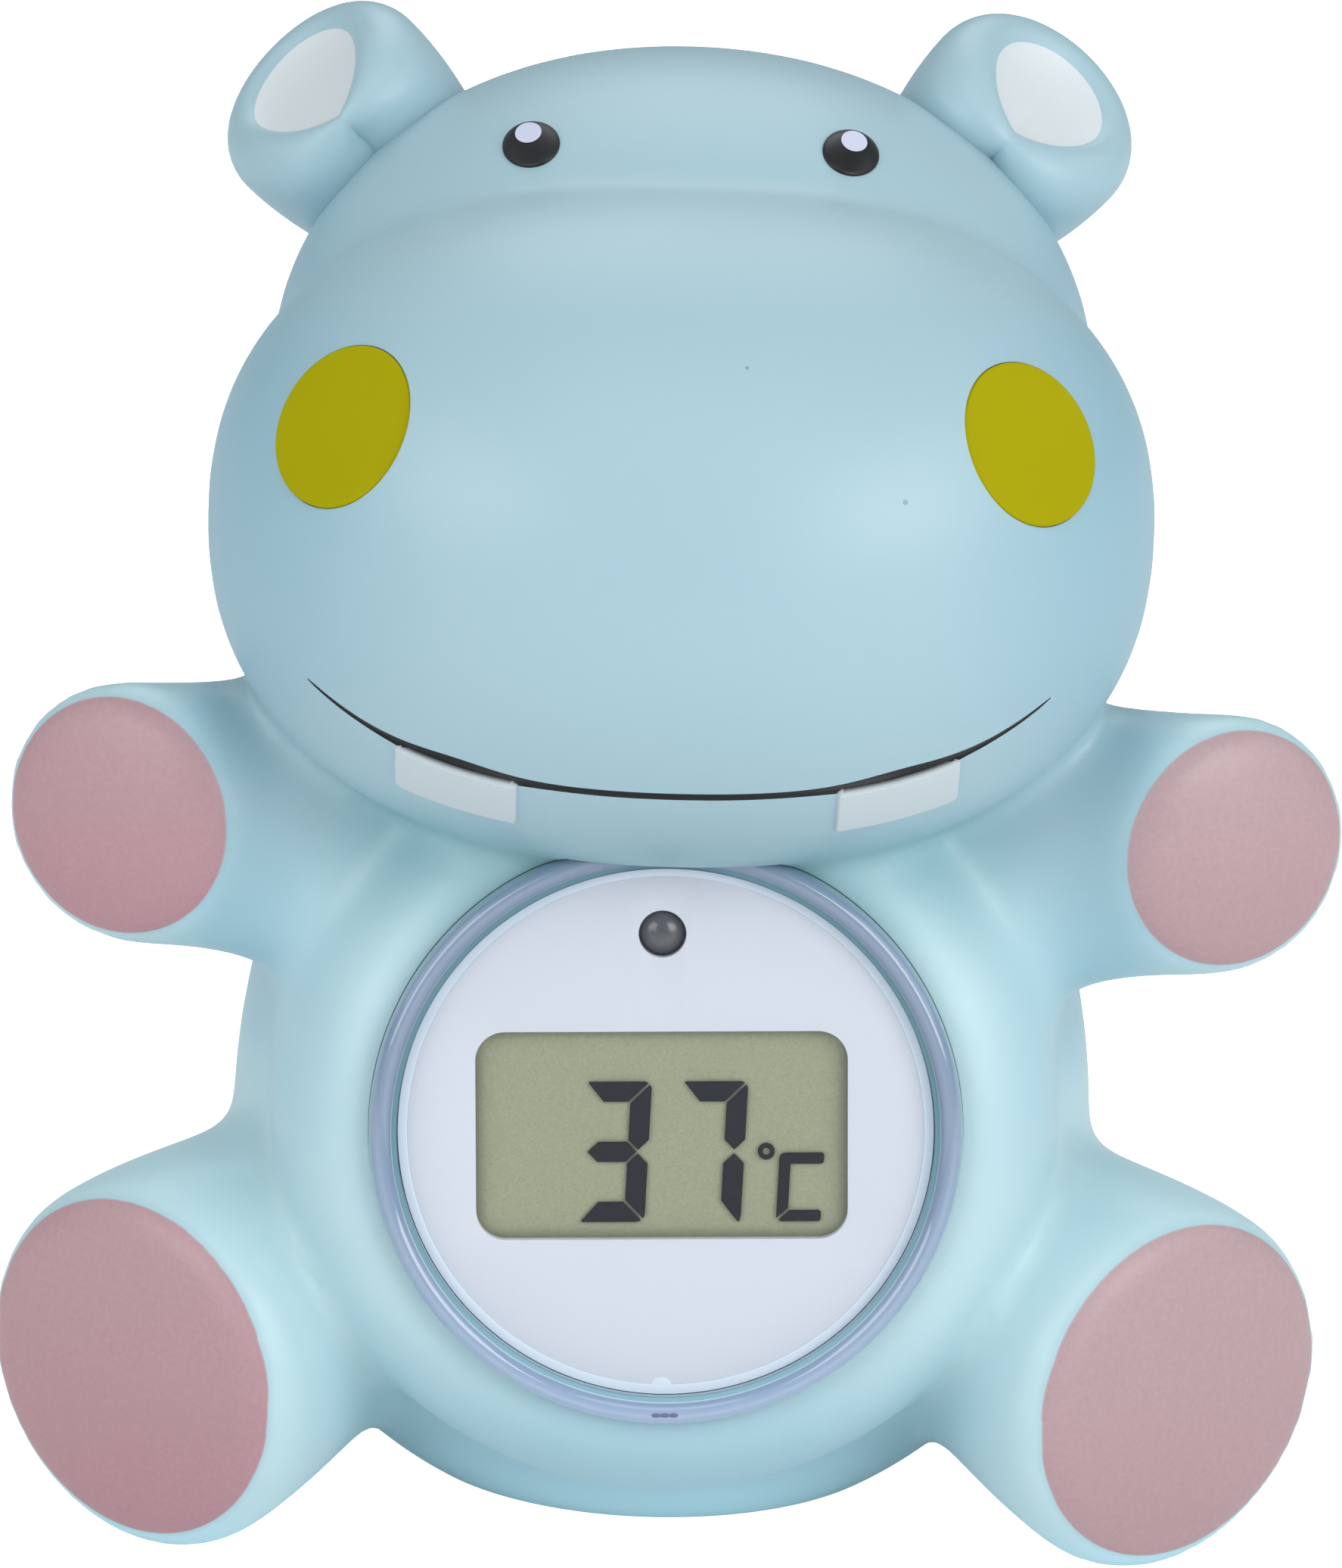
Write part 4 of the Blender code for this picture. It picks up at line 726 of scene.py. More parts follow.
def limb_rings(root, root_axis, tip, tip_axis, radii, shrink=0.0):
    """Rings of a stubby limb, from inside the torso to its rounded, slightly domed end."""
    root_radius, tip_radius = radii
    rim = tip - tip_axis * (LIMB_EDGE + LIMB_DOME)
    steps, body_steps, edge_steps = 64, 14, 8
    rings = []
    for index in range(body_steps):
        along = index / body_steps
        blend = along * along * (3 - 2 * along)
        place = facing(root.lerp(rim, along), root_axis.lerp(tip_axis, blend))
        rings.append(circle(place, root_radius + (tip_radius - root_radius) * blend - shrink, steps))
    if shrink:
        rings.append(circle(facing(rim - tip_axis * shrink, tip_axis), tip_radius - shrink, steps))
        return rings
    flat = tip_radius - LIMB_EDGE
    for index in range(edge_steps + 1):
        turn = pi / 2 * index / edge_steps
        place = facing(rim + tip_axis * LIMB_EDGE * sin(turn), tip_axis)
        rings.append(circle(place, flat + LIMB_EDGE * cos(turn), steps))
    for share in (0.8, 0.6, 0.4, 0.2):
        place = facing(tip - tip_axis * LIMB_DOME * share * share, tip_axis)
        rings.append(circle(place, flat * share, steps))
    return rings


def limbs(side):
    """Each limb's root, root axis, tip, tip axis and radii."""
    made = []
    for tips, axis_deg, pad_deg, radii, length in (
            (ARM_TIPS, ARM_AXIS_DEG, ARM_PAD_DEG, ARM_RADII, ARM_LENGTH),
            (LEG_TIPS, LEG_AXIS_DEG, LEG_PAD_DEG, LEG_RADII, LEG_LENGTH)):
        axis = direction(axis_deg, side)
        made.append((tips[side] - axis * length, axis, tips[side], direction(pad_deg, side), radii))
    return made


def add_figure(shape, shrink=0.0):
    add_ball(shape, TORSO_CENTRE, TORSO_SIZE, TORSO_FALL, shrink)
    add_ball(shape, MUZZLE_CENTRE, MUZZLE_SIZE, None, shrink, MUZZLE_FULLNESS)
    add_ball(shape, CRANIUM_CENTRE, CRANIUM_SIZE, None, shrink, CRANIUM_FULLNESS)
    for side, _ in SIDES:
        for limb in limbs(side):
            add_rings(shape, limb_rings(*limb, shrink=shrink))


MODULE = facing(MODULE_SEAT, direction((0.0, MODULE_TILT_DEG)))
MODULE = MODULE @ Matrix.Rotation(radians(MODULE_TURN_DEG), 4, 'Z')
LIGHT = MODULE @ Matrix.Translation((*LIGHT_MIDDLE, 0.0))


def belly_rings(place, steps=128):
    """Rings of the flattened belly round the module, from its back to its front."""
    flat = RING_RADIUS + GAP
    outline = [(flat + BELLY_EDGE_WIDTH, -TORSO_SIZE.y / 2)]
    for index in range(12, -1, -1):
        turn = pi / 2 * index / 12
        outline.append((flat + BELLY_EDGE_WIDTH * sin(turn), SEAT_DEPTH - BELLY_EDGE_DROP * (1 - cos(turn))))
    return [circle(place @ Matrix.Translation((0, 0, height)), radius, steps) for radius, height in outline]


def fused(name, shape, cell):
    """One skin from overlapping closed ones, by voxels of a given size."""
    made = finish_mesh(name, shape)
    fuse = made.modifiers.new("Fuse", 'REMESH')
    fuse.mode = 'VOXEL'
    fuse.voxel_size = cell
    return settle(made)


def relax(mesh, weights, rounds):
    """Even out a skin: each round moves its points towards their neighbours by their weight."""
    count = len(mesh.vertices)
    points = np.empty(count * 3)
    mesh.vertices.foreach_get("co", points)
    points = points.reshape(-1, 3)
    edges = np.empty(len(mesh.edges) * 2, dtype=np.int32)
    mesh.edges.foreach_get("vertices", edges)
    first, second = edges[0::2], edges[1::2]
    neighbours = np.bincount(first, minlength=count) + np.bincount(second, minlength=count)
    for _ in range(rounds):
        middle = np.empty_like(points)
        for axis in range(3):
            total = np.bincount(first, weights=points[second, axis], minlength=count)
            total += np.bincount(second, weights=points[first, axis], minlength=count)
            middle[:, axis] = total / neighbours
        points += weights(points)[:, None] * (middle - points)
    mesh.vertices.foreach_set("co", points.ravel())
    mesh.update()


def near(points, centre, reach):
    """1 at a centre, falling smoothly to 0 at its reach."""
    distance = np.linalg.norm(points - np.array(centre), axis=1) / reach
    left = np.clip(1.0 - distance, 0.0, 1.0)
    return left * left * (3 - 2 * left)


def even_weights(points):
    return np.full(len(points), 0.5)


def junction_weights(points):
    """Strong where limbs grow out of the torso, nothing elsewhere."""
    weight = np.zeros(len(points))
    for side, _ in SIDES:
        for (across, ahead, height), reach in JUNCTIONS:
            centre = [value * MM for value in (side * across, ahead, height)]
            weight = np.maximum(weight, near(points, centre, reach * MM))
    return 0.5 * np.clip(1.6 * weight, 0.0, 1.0)


def ear_rings(side):
    """Rings of an ear, from its root up its side, over its rim and down into its dish.

    A sharp fold runs up its front between two swelling panels, and the dish points down to it."""
    steps = 144
    axis = direction(EAR_AXIS_DEG[side], side)
    tip = EAR_TIPS[side]
    corner_reach = DISH_CORNER_REACH[side]
    front = (Vector((0, -1, 0)) - axis * Vector((0, -1, 0)).dot(axis)).normalized()
    inward = axis.cross(front) * (1 if side < 0 else -1)
    crest = EAR_RADIUS - EAR_RIM
    # height, radius, fold depth, panel swell, corner reach and rim drop of each ring
    stations = []
    for index in range(13):
        along = index / 12
        radius = EAR_ROOT_RADIUS + (EAR_RADIUS - EAR_ROOT_RADIUS) * sin(pi / 2 * along)
        stations.append((-EAR_LENGTH + (EAR_LENGTH - EAR_EDGE) * along, radius, FOLD_DEPTH,
                         PANEL_SWELL * sin(pi / 2 * along), 0.0, 0.0))
    for index in range(1, 11):
        turn = pi / 2 * index / 10
        left = 1 - sin(turn)
        stations.append((-EAR_EDGE * left, crest + EAR_RIM * cos(turn), FOLD_DEPTH * (0.25 + 0.75 * left),
                         PANEL_SWELL * left, corner_reach * (1 - cos(turn)), RIM_DROP * (1 - left)))
    for index in range(1, 5):
        along = index / 4
        radius = crest + (DISH_RADIUS - crest) * along
        stations.append((-0.3 * DISH_DEPTH * along * along, radius, 0.25 * FOLD_DEPTH * (1 - along), 0.0,
                         corner_reach, RIM_DROP))
    dish_start = len(stations) - 1
    for share in (0.9, 0.8, 0.65, 0.5, 0.35, 0.2, 0.1):
        depth = DISH_DEPTH * (0.3 + 0.7 * (1 - share * share) ** 0.8)
        stations.append((-depth, DISH_RADIUS * share, 0.0, 0.0, corner_reach * share ** 1.5,
                         RIM_DROP * share ** 2))
    rings = []
    for height, radius, fold_depth, swell, reach, drop in stations:
        ring = []
        for index in range(steps):
            off = 2 * pi * index / steps
            turn = off + radians(FOLD_TURN_DEG)
            off = min(off, 2 * pi - off)
            fold = exp(-off / radians(FOLD_WIDTH_DEG))
            panel = exp(-((off - radians(PANEL_TURN_DEG)) / radians(PANEL_WIDTH_DEG)) ** 2)
            corner = max(0.0, 1 - off / radians(DISH_CORNER_DEG)) ** 2
            out = radius - fold_depth * fold + swell * panel + reach * corner
            point = tip + axis * (height - drop * corner)
            ring.append(point + front * (out * cos(turn)) + inward * (out * sin(turn)))
        rings.append(ring)
    return rings, dish_start


def make_ear(side, name, finishes):
    shape = bmesh.new()
    rings, dish_start = ear_rings(side)
    faces = add_rings(shape, rings)
    steps = len(rings[0])
    for face in faces[dish_start * steps:]:
        face.material_index = 1
    shape.faces.ensure_lookup_table()
    shape.faces[-1].material_index = 1
    return finish_mesh(name, shape, finishes)


def mouth_height(across):
    """Height of the mouth line on the muzzle, a shallow smile that steepens towards its ends."""
    near_square, far_square = MOUTH_RISE_AT ** 2, MOUTH_REACH ** 2
    quartic = (MOUTH_END_RISE / far_square - MOUTH_RISE / near_square) / (far_square - near_square)
    square = MOUTH_RISE / near_square - quartic * near_square
    return MOUTH_HEIGHT + square * across ** 2 + quartic * across ** 4


def on_skin(skin, across, height):
    """Point on the front of the skin and its normal, straight back from a place in front of it."""
    point, normal, _, _ = skin.ray_cast(Vector((across, -0.2, height)), Vector((0, 1, 0)))
    return point, normal


def mouth_cutter(skin, finish):
    """A tapered rod that lies half in the muzzle, along the mouth line, and swells over each tooth."""
    rings = []
    steps = 90
    for index in range(steps + 1):
        share = 2 * index / steps - 1
        across = share * MOUTH_REACH
        point, normal = on_skin(skin, across, mouth_height(across))
        ahead, _ = on_skin(skin, across + 0.1 * MM, mouth_height(across + 0.1 * MM))
        along = (ahead - point).normalized()
        side = along.cross(normal).normalized()
        taper = (1 - abs(share) ** 2.2) ** 0.5 if abs(share) < 1 else 0.0
        over_tooth = exp(-((abs(across) - (TOOTH_INNER + TOOTH_OUTER) / 2) / MOUTH_SWELL_REACH) ** 2)
        radius = MOUTH_WIDTH * (0.15 + 0.9 * taper + 1.5 * over_tooth)
        ring = []
        for turn_index in range(12):
            turn = 2 * pi * turn_index / 12
            ring.append(point + side * (radius * cos(turn)) + normal * (1.3 * radius * sin(turn)))
        rings.append(ring)
    shape = bmesh.new()
    add_rings(shape, rings)
    return finish_mesh("mouth_groove", shape, (finish,))


def make_tooth(skin, side, name, finish):
    """A low white tooth that follows the muzzle, with its top edge just under the mouth line."""
    shape = bmesh.new()
    columns, rows = 44, 22
    width = TOOTH_OUTER - TOOTH_INNER
    grid = []
    for row in range(rows + 1):
        line = []
        for column in range(columns + 1):
            along, down = column / columns, row / rows
            across = side * (TOOTH_INNER + width * along)
            outer_corner = max(0.0, along - 0.93) * max(0.0, down - 0.8) * 30.0 * MM
            height = mouth_height(across) - TOOTH_BELOW_MOUTH - TOOTH_HEIGHT * down + outer_corner
            point, normal = on_skin(skin, across, height)
            rim = min(along * width, (1 - along) * width, (1 - down) * TOOTH_HEIGHT * 1.3,
                      down * TOOTH_HEIGHT * 1.3 + 0.3 * MM)
            rise = TOOTH_PROUD * sqrt(max(0.0, 1 - (1 - min(rim / TOOTH_EDGE, 1.0)) ** 2)) - TOOTH_SUNK
            line.append(shape.verts.new(point + normal * rise))
        grid.append(line)
    for upper, lower in zip(grid, grid[1:]):
        for column in range(columns):
            shape.faces.new((upper[column], upper[column + 1], lower[column + 1], lower[column]))
    made = finish_mesh(name, shape, (finish,))
    if made.data.polygons[0].normal.dot(Vector((0, -1, 0))) <= 0:
        made.data.flip_normals()
    back = made.modifiers.new("Back", 'SOLIDIFY')
    back.thickness = TOOTH_THICKNESS
    back.offset = -1.0
    return settle(made)


def make_eye(skin, side, name, finishes):
    """A low black oval whose sides rise to a flat pale pupil, set towards its upper outer edge."""
    point, normal, _, _ = skin.find_nearest(mirrored(EYE_CENTRE, side))
    place = facing(point, normal)
    shape = bmesh.new()
    rings = []
    top = EYE_PROUD / MM
    for share, height in ((0.0, -0.5), (0.0, 0.0), (0.03, 0.09), (0.08, 0.15), (0.3, 0.3), (0.6, 0.46),
                          (0.85, 0.57), (1.0, top - 0.02), (1.0, top + 0.02)):
        middle = Vector((side * PUPIL_SHIFT[0] * share, PUPIL_SHIFT[1] * share, height * MM))
        width, length = (big + (small - big) * share for big, small in zip(EYE_RADII, PUPIL_RADII))
        oval = Matrix.Rotation(side * radians(EYE_TURN_DEG), 4, 'Z')
        oval = oval @ Matrix.Diagonal((width, length, 1.0, 1.0))
        rings.append(circle(place @ Matrix.Translation(middle) @ oval, 1.0, SMALL_STEPS))
    add_rings(shape, rings)
    shape.faces.ensure_lookup_table()
    shape.faces[-1].material_index = 1
    return finish_mesh(name, shape, finishes)


def cheek_place(side):
    across = side * CHEEK_CENTRE.x
    half = MUZZLE_SIZE / 2
    rise = CHEEK_CENTRE.z - MUZZLE_CENTRE.z
    forward = half.y * sqrt(1 - (across / half.x) ** 2 - (rise / half.z) ** 2)
    return facing((across, MUZZLE_CENTRE.y - forward, CHEEK_CENTRE.z), direction(CHEEK_AXIS_DEG, side))


def make_cheek(side, name, finish):
    edge = arc(CHEEK_RADIUS - CHEEK_EDGE, CHEEK_PROUD - CHEEK_EDGE, CHEEK_EDGE, 90, 0, 6)
    back = CHEEK_PROUD - CHEEK_THICKNESS
    return turned(name, [(0.0, CHEEK_PROUD), *edge, (CHEEK_RADIUS, back), (0.0, back)], (finish,),
                  cheek_place(side), CHEEK_STEPS)


def cheek_pocket(side, finish):
    return drum("cheek_pocket", CHEEK_RADIUS + CHEEK_SEAM, WALL, CHEEK_PROUD - CHEEK_THICKNESS - CHEEK_SEAM,
                (finish,), cheek_place(side), CHEEK_STEPS)


def block(name, low, high, *finishes):
    """A block much wider than the figure, between two heights."""
    reach = 0.15
    points = [(-reach, -reach), (reach, -reach), (reach, reach), (-reach, reach)]
    return plate(name, points, low, high, finishes)


def make_hollow(finish):
    """The space inside the figure's wall, as a cutter."""
    shape = bmesh.new()
    add_figure(shape, WALL)
    made = fused("hollow", shape, HOLLOW_CELL)
    relax(made.data, even_weights, HOLLOW_ROUNDS)
    made.data.materials.append(finish)
    floor = block("hollow_floor", -0.1, WALL)
    collar = drum("collar", HOUSING_RADIUS + GAP + COLLAR_WALL, WALL, -COLLAR_LENGTH, (), MODULE)
    combine(made, floor, 'DIFFERENCE')
    combine(made, collar, 'DIFFERENCE')
    return settle(made, floor, collar)


def make_body(vinyl, white, mouth):
    """The whole vinyl figure, and its skin before any cutting, for the face's pieces to lie on."""
    shape = bmesh.new()
    add_rings(shape, belly_rings(MODULE))
    add_figure(shape)
    body = fused("vinyl_body", shape, SKIN_CELL)
    scale = (FINE_CELL / SKIN_CELL) ** 2
    relax(body.data, even_weights, round(EVEN_ROUNDS * scale))
    relax(body.data, junction_weights, round(JUNCTION_ROUNDS * scale))
    body.data.materials.append(vinyl)
    graph = bpy.context.evaluated_depsgraph_get()
    skin = BVHTree.FromObject(body, graph)

    helpers = []
    for side, name in SIDES:
        ear = make_ear(side, name + "_ear", (vinyl, white))
        combine(body, ear, 'UNION')
        helpers.append(ear)
    recess, hole = RING_RADIUS + RING_SEAM, HOUSING_RADIUS + GAP
    front = RING_CREST + GAP
    seat = turned("module_seat", [(0.0, front), (recess, front), (recess, 0.0), (hole, 0.0),
                                  (hole, -HOUSING_DEPTH), (0.0, -HOUSING_DEPTH)], (vinyl,), MODULE)
    vent = drum("vent", VENT_RADIUS, 2 * WALL, -WALL, (vinyl,), Matrix.Translation((0.0, VENT_BACK, 0.0)))
    cutters = [block("seat_plane", -0.1, 0.0, vinyl), make_hollow(vinyl), seat, vent,
               mouth_cutter(skin, mouth)]
    cutters += [cheek_pocket(side, vinyl) for side, _ in SIDES]
    for cutter in cutters:
        combine(body, cutter, 'DIFFERENCE')
    settle(body, *helpers, *cutters)
    shade_mesh(body.data)
    return body, skin


# The module

def make_ring(finish):
    """The clear ring: a foot, a rounded crown and an inner step down to the window."""
    middle = (RING_RADIUS + BAND_INNER) / 2
    half = (RING_RADIUS - BAND_INNER) / 2
    outline = [(HOUSING_RADIUS, 0.2 * MM), (RING_RADIUS - 0.15 * MM, 0.2 * MM), (RING_RADIUS, 0.35 * MM)]
    steps = 18
    for index in range(steps + 1):
        turn = pi * index / steps
        base = RING_FOOT if index <= steps / 2 else WINDOW_FRONT
        outline.append((middle + half * cos(turn), base + (RING_CREST - base) * sin(turn) ** 0.8))
    step, back = WINDOW_FRONT - 0.12 * MM, -3.0 * MM
    outline += [(BAND_INNER - 0.05 * MM, step), (LIP_OUTER + 0.08 * MM, step), (LIP_OUTER, step + 0.07 * MM),
                (LIP_OUTER, FACE_FRONT), (LIP_OUTER, back), (HOUSING_RADIUS, back)]
    return turned("clear_ring", outline, (finish,), MODULE, 256)


def make_window(finish):
    radius = LIP_OUTER - 0.05 * MM
    outline = [(0.0, WINDOW_FRONT), (radius - 0.1 * MM, WINDOW_FRONT), (radius, WINDOW_FRONT - 0.1 * MM),
               (radius, WINDOW_FRONT - WINDOW_THICKNESS), (0.0, WINDOW_FRONT - WINDOW_THICKNESS)]
    return turned("clear_window", outline, (finish,), MODULE, FACE_STEPS)


def make_lip(finish):
    """Pale ring that frames the white face, rising outwards under the window's edge."""
    inner, outer = FACE_RADIUS + 0.01 * MM, LIP_OUTER - 0.04 * MM
    outline = [(inner, FACE_FRONT - 0.5 * MM), (inner, FACE_FRONT)]
    outline += arc(inner + 0.12 * MM, FACE_FRONT, 0.12 * MM, 180, 100, 4)
    outline += [(outer, FACE_FRONT + 0.16 * MM), (outer, FACE_FRONT - 0.5 * MM)]
    return turned("face_surround", outline, (finish,), MODULE, FACE_STEPS)


def make_face(finish):
    """White face plate with the display opening and the hole for the light."""
    face = drum("white_face", FACE_RADIUS, FACE_FRONT, FACE_FRONT - FACE_THICKNESS, (finish,), MODULE,
                FACE_STEPS)
    corners = rounded_box(*DISPLAY_SIZE, DISPLAY_CORNER, DISPLAY_MIDDLE)
    opening = plate("opening", corners, -WALL, WALL, (finish,), MODULE)
    hole = drum("hole", LIGHT_RADIUS + 0.08 * MM, WALL, -WALL, (finish,), LIGHT)
    for cutter in (opening, hole):
        combine(face, cutter, 'DIFFERENCE')
    settle(face, opening, hole)
    bevel = face.modifiers.new("Edges", 'BEVEL')
    bevel.width = 0.06 * MM
    bevel.segments = 2
    bevel.limit_method = 'ANGLE'
    bevel.angle_limit = radians(50)
    settle(face)
    shade_mesh(face.data)
    return face


def make_display(finish):
    width, height = DISPLAY_SIZE
    margin = 0.6 * MM
    points = rounded_box(width + 2 * margin, height + 2 * margin, DISPLAY_CORNER, DISPLAY_MIDDLE)
    return plate("display_panel", points, DISPLAY_LEVEL - 1.1 * MM, DISPLAY_LEVEL, (finish,), MODULE)


def horizontal_stroke(height, outward):
    """A top or bottom stroke, whose pointed left end and mitred right end lean inwards."""
    right = DIGIT_WIDTH
    stroke, gap, corner = DIGIT_STROKE, DIGIT_GAP, DIGIT_CORNER
    outer, inner = height, height - outward * stroke
    left = 0.78 * stroke
    return [(0.0, outer - outward * 0.1 * MM), (0.08 * MM, outer), (right - corner - gap, outer),
            (right - 0.3 * corner - gap, outer - outward * 0.3 * corner), (right - stroke - gap, inner),
            (left, inner)]


def middle_stroke():
    half = DIGIT_STROKE / 2
    middle = DIGIT_HEIGHT / 2
    right = DIGIT_WIDTH - half - 0.8 * DIGIT_GAP
    left = 0.2 * MM
    return [(left, middle), (left + half, middle + half), (right - half, middle + half), (right, middle),
            (right - half, middle - half), (left + half, middle - half)]


def upright_stroke(low_end, high_end, pointed_foot=False):
    """A right-hand stroke between the middle and the top or the bottom of a digit."""
    right, stroke, gap, corner = DIGIT_WIDTH, DIGIT_STROKE, DIGIT_GAP, DIGIT_CORNER
    half = stroke / 2
    upper = high_end > DIGIT_HEIGHT * 0.75
    sign = 1 if upper else -1
    near_end, far_end = (low_end, high_end) if upper else (high_end, low_end)
    points = [(right - half, near_end + sign * gap), (right, near_end + sign * (half + gap)),
              (right, far_end - sign * corner - sign * gap)]
    if pointed_foot:
        points += [(right - 0.25 * corner, far_end), (right - 0.6 * corner, far_end),
                   (right - stroke, far_end - sign * (stroke + 0.4 * gap))]
    else:
        points += [(right - 0.3 * corner, far_end - sign * 0.3 * corner - sign * gap),
                   (right - stroke, far_end - sign * (stroke + gap))]
    return points + [(right - stroke, near_end + sign * (half + gap))]


def letter_strokes():
    """The unit's C with one cut corner, as outlines from its own corner."""
    stroke, gap, corner, end = UNIT_STROKE, 0.11 * MM, DIGIT_CORNER, 0.16 * MM
    width, height = UNIT_SIZE
    main = [(0.0, height - corner), (0.3 * corner, height - 0.3 * corner), (corner, height),
            (width - end, height), (width, height - end), (width, height - stroke + end),
            (width - end, height - stroke), (stroke, height - stroke), (stroke, stroke + gap),
            (0.0, 0.3 * corner + gap)]
    foot = [(stroke + gap, stroke), (width - end, stroke), (width, stroke - end), (width, end),
            (width - end, 0.0), (0.9 * corner, 0.0), (0.5 * corner, 0.12 * MM)]
    return main, foot


def make_digits(finish):
    """The strokes that read 37 and the unit, just above the display panel."""
    low = DISPLAY_LEVEL + DIGIT_LIFT
    high = low + INK_THICKNESS
    middle, top = DIGIT_HEIGHT / 2, DIGIT_HEIGHT
    three = [horizontal_stroke(top, 1), middle_stroke(), horizontal_stroke(0.0, -1),
             upright_stroke(middle, top), upright_stroke(0.0, middle)]
    seven = [horizontal_stroke(top, 1), upright_stroke(middle, top), upright_stroke(0.0, middle, True)]
    second_digit = (LEFT_DIGIT[0] + DIGIT_PITCH, LEFT_DIGIT[1])
    shape = bmesh.new()
    for corner, strokes in ((LEFT_DIGIT, three), (second_digit, seven), (UNIT_CORNER, letter_strokes())):
        for points in strokes:
            moved = [(corner[0] + x + y * DIGIT_SLANT, corner[1] + y) for x, y in points]
            add_plate(shape, moved, low, high)
    centre = [corner + offset for corner, offset in zip(UNIT_CORNER, UNIT_RING_PLACE)]
    inner, outer = UNIT_RING_RADII
    rings = []
    for radius, height in ((inner, low), (outer, low), (outer, high), (inner, high), (inner, low)):
        rings.append(circle(Matrix.Translation((*centre, height)), radius, 40))
    add_rings(shape, rings, closed_ends=False)
    bmesh.ops.remove_doubles(shape, verts=shape.verts, dist=MERGE_DISTANCE)
    return finish_mesh("display_digits", shape, (finish,), MODULE)


def make_light(finish):
    """Smoked dome of the warning light, its crown just under the face's front."""
    top = FACE_FRONT - 0.05 * MM
    outline = [(0.0, top)]
    steps = 12
    for index in range(1, steps + 1):
        turn = pi / 2 * index / steps
        outline.append((LIGHT_RADIUS * sin(turn), top - 0.75 * LIGHT_RADIUS * (1 - cos(turn))))
    outline += [(LIGHT_RADIUS, top - 3.2 * MM), (0.0, top - 3.2 * MM)]
    return turned("warning_light", outline, (finish,), LIGHT, SMALL_STEPS)


def add_bead(shape, centre, radii):
    """A small ball stretched to three radii, in millimetres like its centre."""
    place = Matrix.LocRotScale(Vector(centre) * MM, None, Vector(radii) * MM)
    bmesh.ops.create_uvsphere(shape, u_segments=24, v_segments=12, radius=1.0, matrix=place)


def make_gate_mark(finish):
    """Small moulding mark of three joined dots at the foot of the ring."""
    shape = bmesh.new()
    for index in (-1, 0, 1):
        add_bead(shape, (index * 0.64 - 0.15, -21.3, RING_CREST / MM - 0.1), (0.42, 0.19, 0.2))
    return finish_mesh("gate_mark", shape, (finish,), MODULE)


def make_lip_nub(finish):
    """Small rounded nub on the inner edge of the pale surround, at its foot."""
    shape = bmesh.new()
    add_bead(shape, (-0.4, -19.35, FACE_FRONT / MM + 0.02), (0.75, 0.6, 0.08))
    return finish_mesh("surround_nub", shape, (finish,), MODULE)


# Studio

def make_floor():
    made, tree, shader, _ = moulded("studio_paper", (0.88, 0.88, 0.88), (0.86, 0.86, 0.87), 0.8,
                                    grain_size=1.0, grain_depth=0.01, drift_size=200.0)
    shader.inputs["Emission Color"].default_value = (1.0, 1.0, 1.0, 1.0)
    seen = add_node(tree, "LightPath").outputs["Is Camera Ray"]
    glow = calculate(tree, 'MULTIPLY_ADD', seen, FLOOR_GLOW, FLOOR_BOUNCE)
    feed(tree, shader.inputs["Emission Strength"], glow)
    reach = FLOOR_REACH
    plate("floor", [(-reach, -reach), (reach, -reach), (reach, reach), (-reach, reach)],
                   -0.01, -0.05 * MM, (made,))


def make_softbox(name, azimuth, elevation, power):
    """A soft square light that looks at the figure's middle."""
    data = bpy.data.lights.new(name, 'AREA')
    data.size = SOFTBOX_SIZE
    data.energy = power
    link(name, data, looking(LIGHT_AIM, (azimuth, elevation), SOFTBOX_DISTANCE))


def make_studio():
    scene = bpy.context.scene
    scene.world = scene.world or bpy.data.worlds.new("studio")
    scene.world.use_nodes = True
    backdrop = scene.world.node_tree.nodes["Background"]
    backdrop.inputs["Color"].default_value = (*SKY_TONE, 1.0)
    backdrop.inputs["Strength"].default_value = SKY_STRENGTH
    for name, (azimuth, elevation, power) in SOFTBOXES.items():
        make_softbox(name, azimuth, elevation, power)
    scene.view_settings.view_transform = 'Standard'
    scene.view_settings.look = 'None'


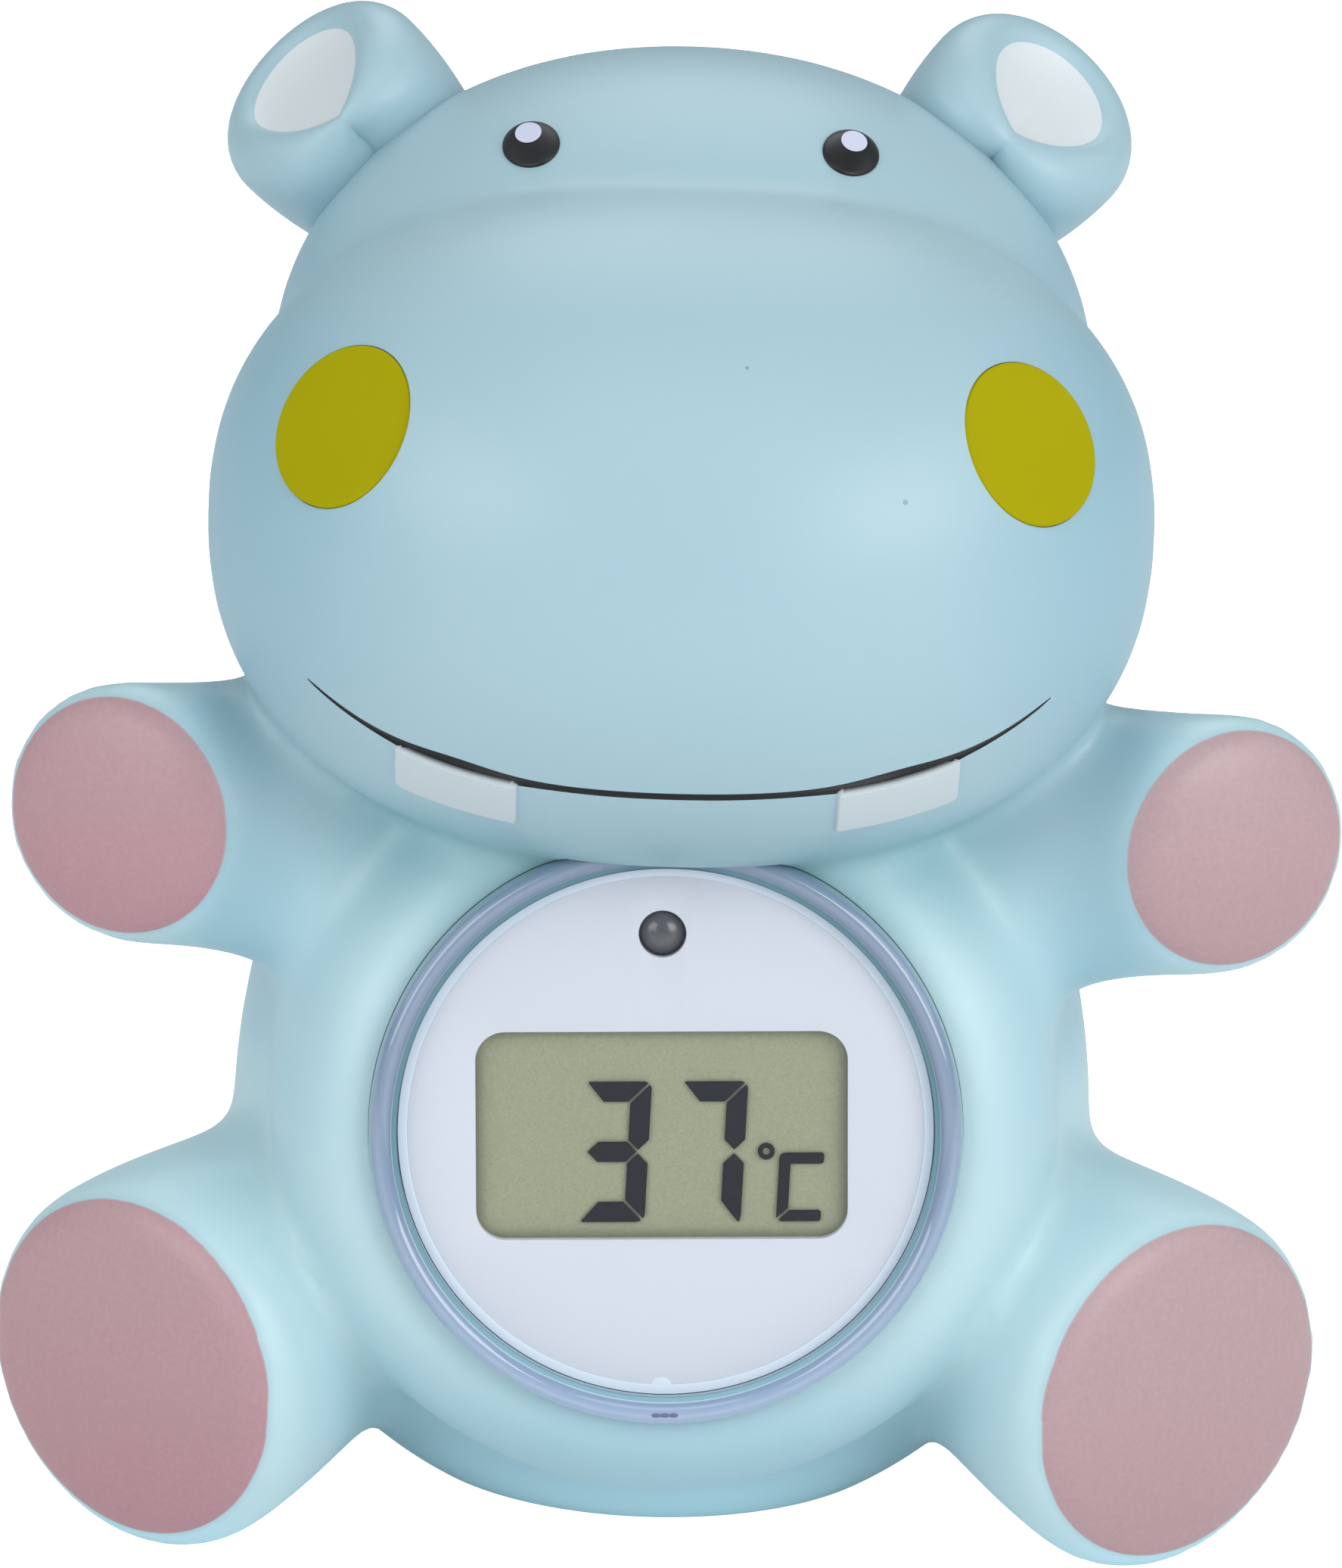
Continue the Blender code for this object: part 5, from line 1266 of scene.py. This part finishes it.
def make_camera():
    """The photograph's view: about 20 degrees above level, from 0.7 m."""
    data = bpy.data.cameras.new("camera")
    data.sensor_width = 36.0
    data.lens = data.sensor_width * CAMERA_DISTANCE / (PHOTO_HEIGHT * PHOTO_PIXEL)
    data.clip_start = 0.01
    roll = Matrix.Rotation(radians(CAMERA_ROLL_DEG), 4, 'Z')
    place = looking(CAMERA_AIM, CAMERA_DEG, CAMERA_DISTANCE) @ roll
    bpy.context.scene.camera = link("camera", data, place)


# Assembly

def dress(piece, slot, *nodes):
    """Let a piece ride on the one body and hide the nodes it stands for; its slot is not used."""
    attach(piece, "root")
    if nodes:
        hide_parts(*nodes)


def main():
    make_camera()
    make_floor()
    make_studio()
    finishes = plain_finishes()
    vinyl = body_vinyl()
    body, skin = make_body(vinyl, finishes["white_paint"], finishes["mouth_paint"])
    dress(body, "blue_vinyl", "body_shell")
    for side, name in SIDES:
        dress(make_tooth(skin, side, name + "_tooth", finishes["tooth_paint"]), "blue_vinyl")
        eye = make_eye(skin, side, name + "_eye", (finishes["eye_paint"], finishes["pupil_paint"]))
        dress(eye, "blue_vinyl")
        cheek = make_cheek(side, name + "_cheek", finishes["olive_vinyl"])
        dress(cheek, "cheek_vinyl", name + "_cheek_disc")
    dress(make_ring(ring_finish()), "clear_plastic", "front_cover")
    dress(make_window(finishes["clear_window"]), "clear_plastic")
    dress(make_lip(finishes["lip_blue"]), "white_plastic")
    dress(make_face(finishes["face_white"]), "white_plastic", "face_plate")
    dress(make_display(display_finish()), "display_glass", "lcd_glass")
    dress(make_digits(finishes["digit_ink"]), "display_glass")
    dress(make_light(finishes["light_smoked"]), "smoked_led", "alarm_led")
    dress(make_gate_mark(finishes["gate_mark"]), "clear_plastic")
    dress(make_lip_nub(finishes["lip_blue"]), "white_plastic")
    inner = {"grey_plastic": ("display_frame", "rear_housing", "battery_carrier", "battery_door"),
             "black_rubber": ("upper_connector_strip", "lower_connector_strip", "housing_seal", "door_seal"),
             "green_board": ("circuit_board",), "black_epoxy": ("chip_cover", "thermistor"),
             "reflector_film": ("lcd_reflector",),
             "steel": ("left_battery_cell", "right_battery_cell", "negative_contact", "positive_contact",
                       "battery_bridge", "left_door_screw", "right_door_screw", "sensor_cap")}
    for finish, nodes in inner.items():
        for node in nodes:
            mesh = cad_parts[node].data
            mesh.materials.clear()
            mesh.materials.append(finishes[finish])


main()
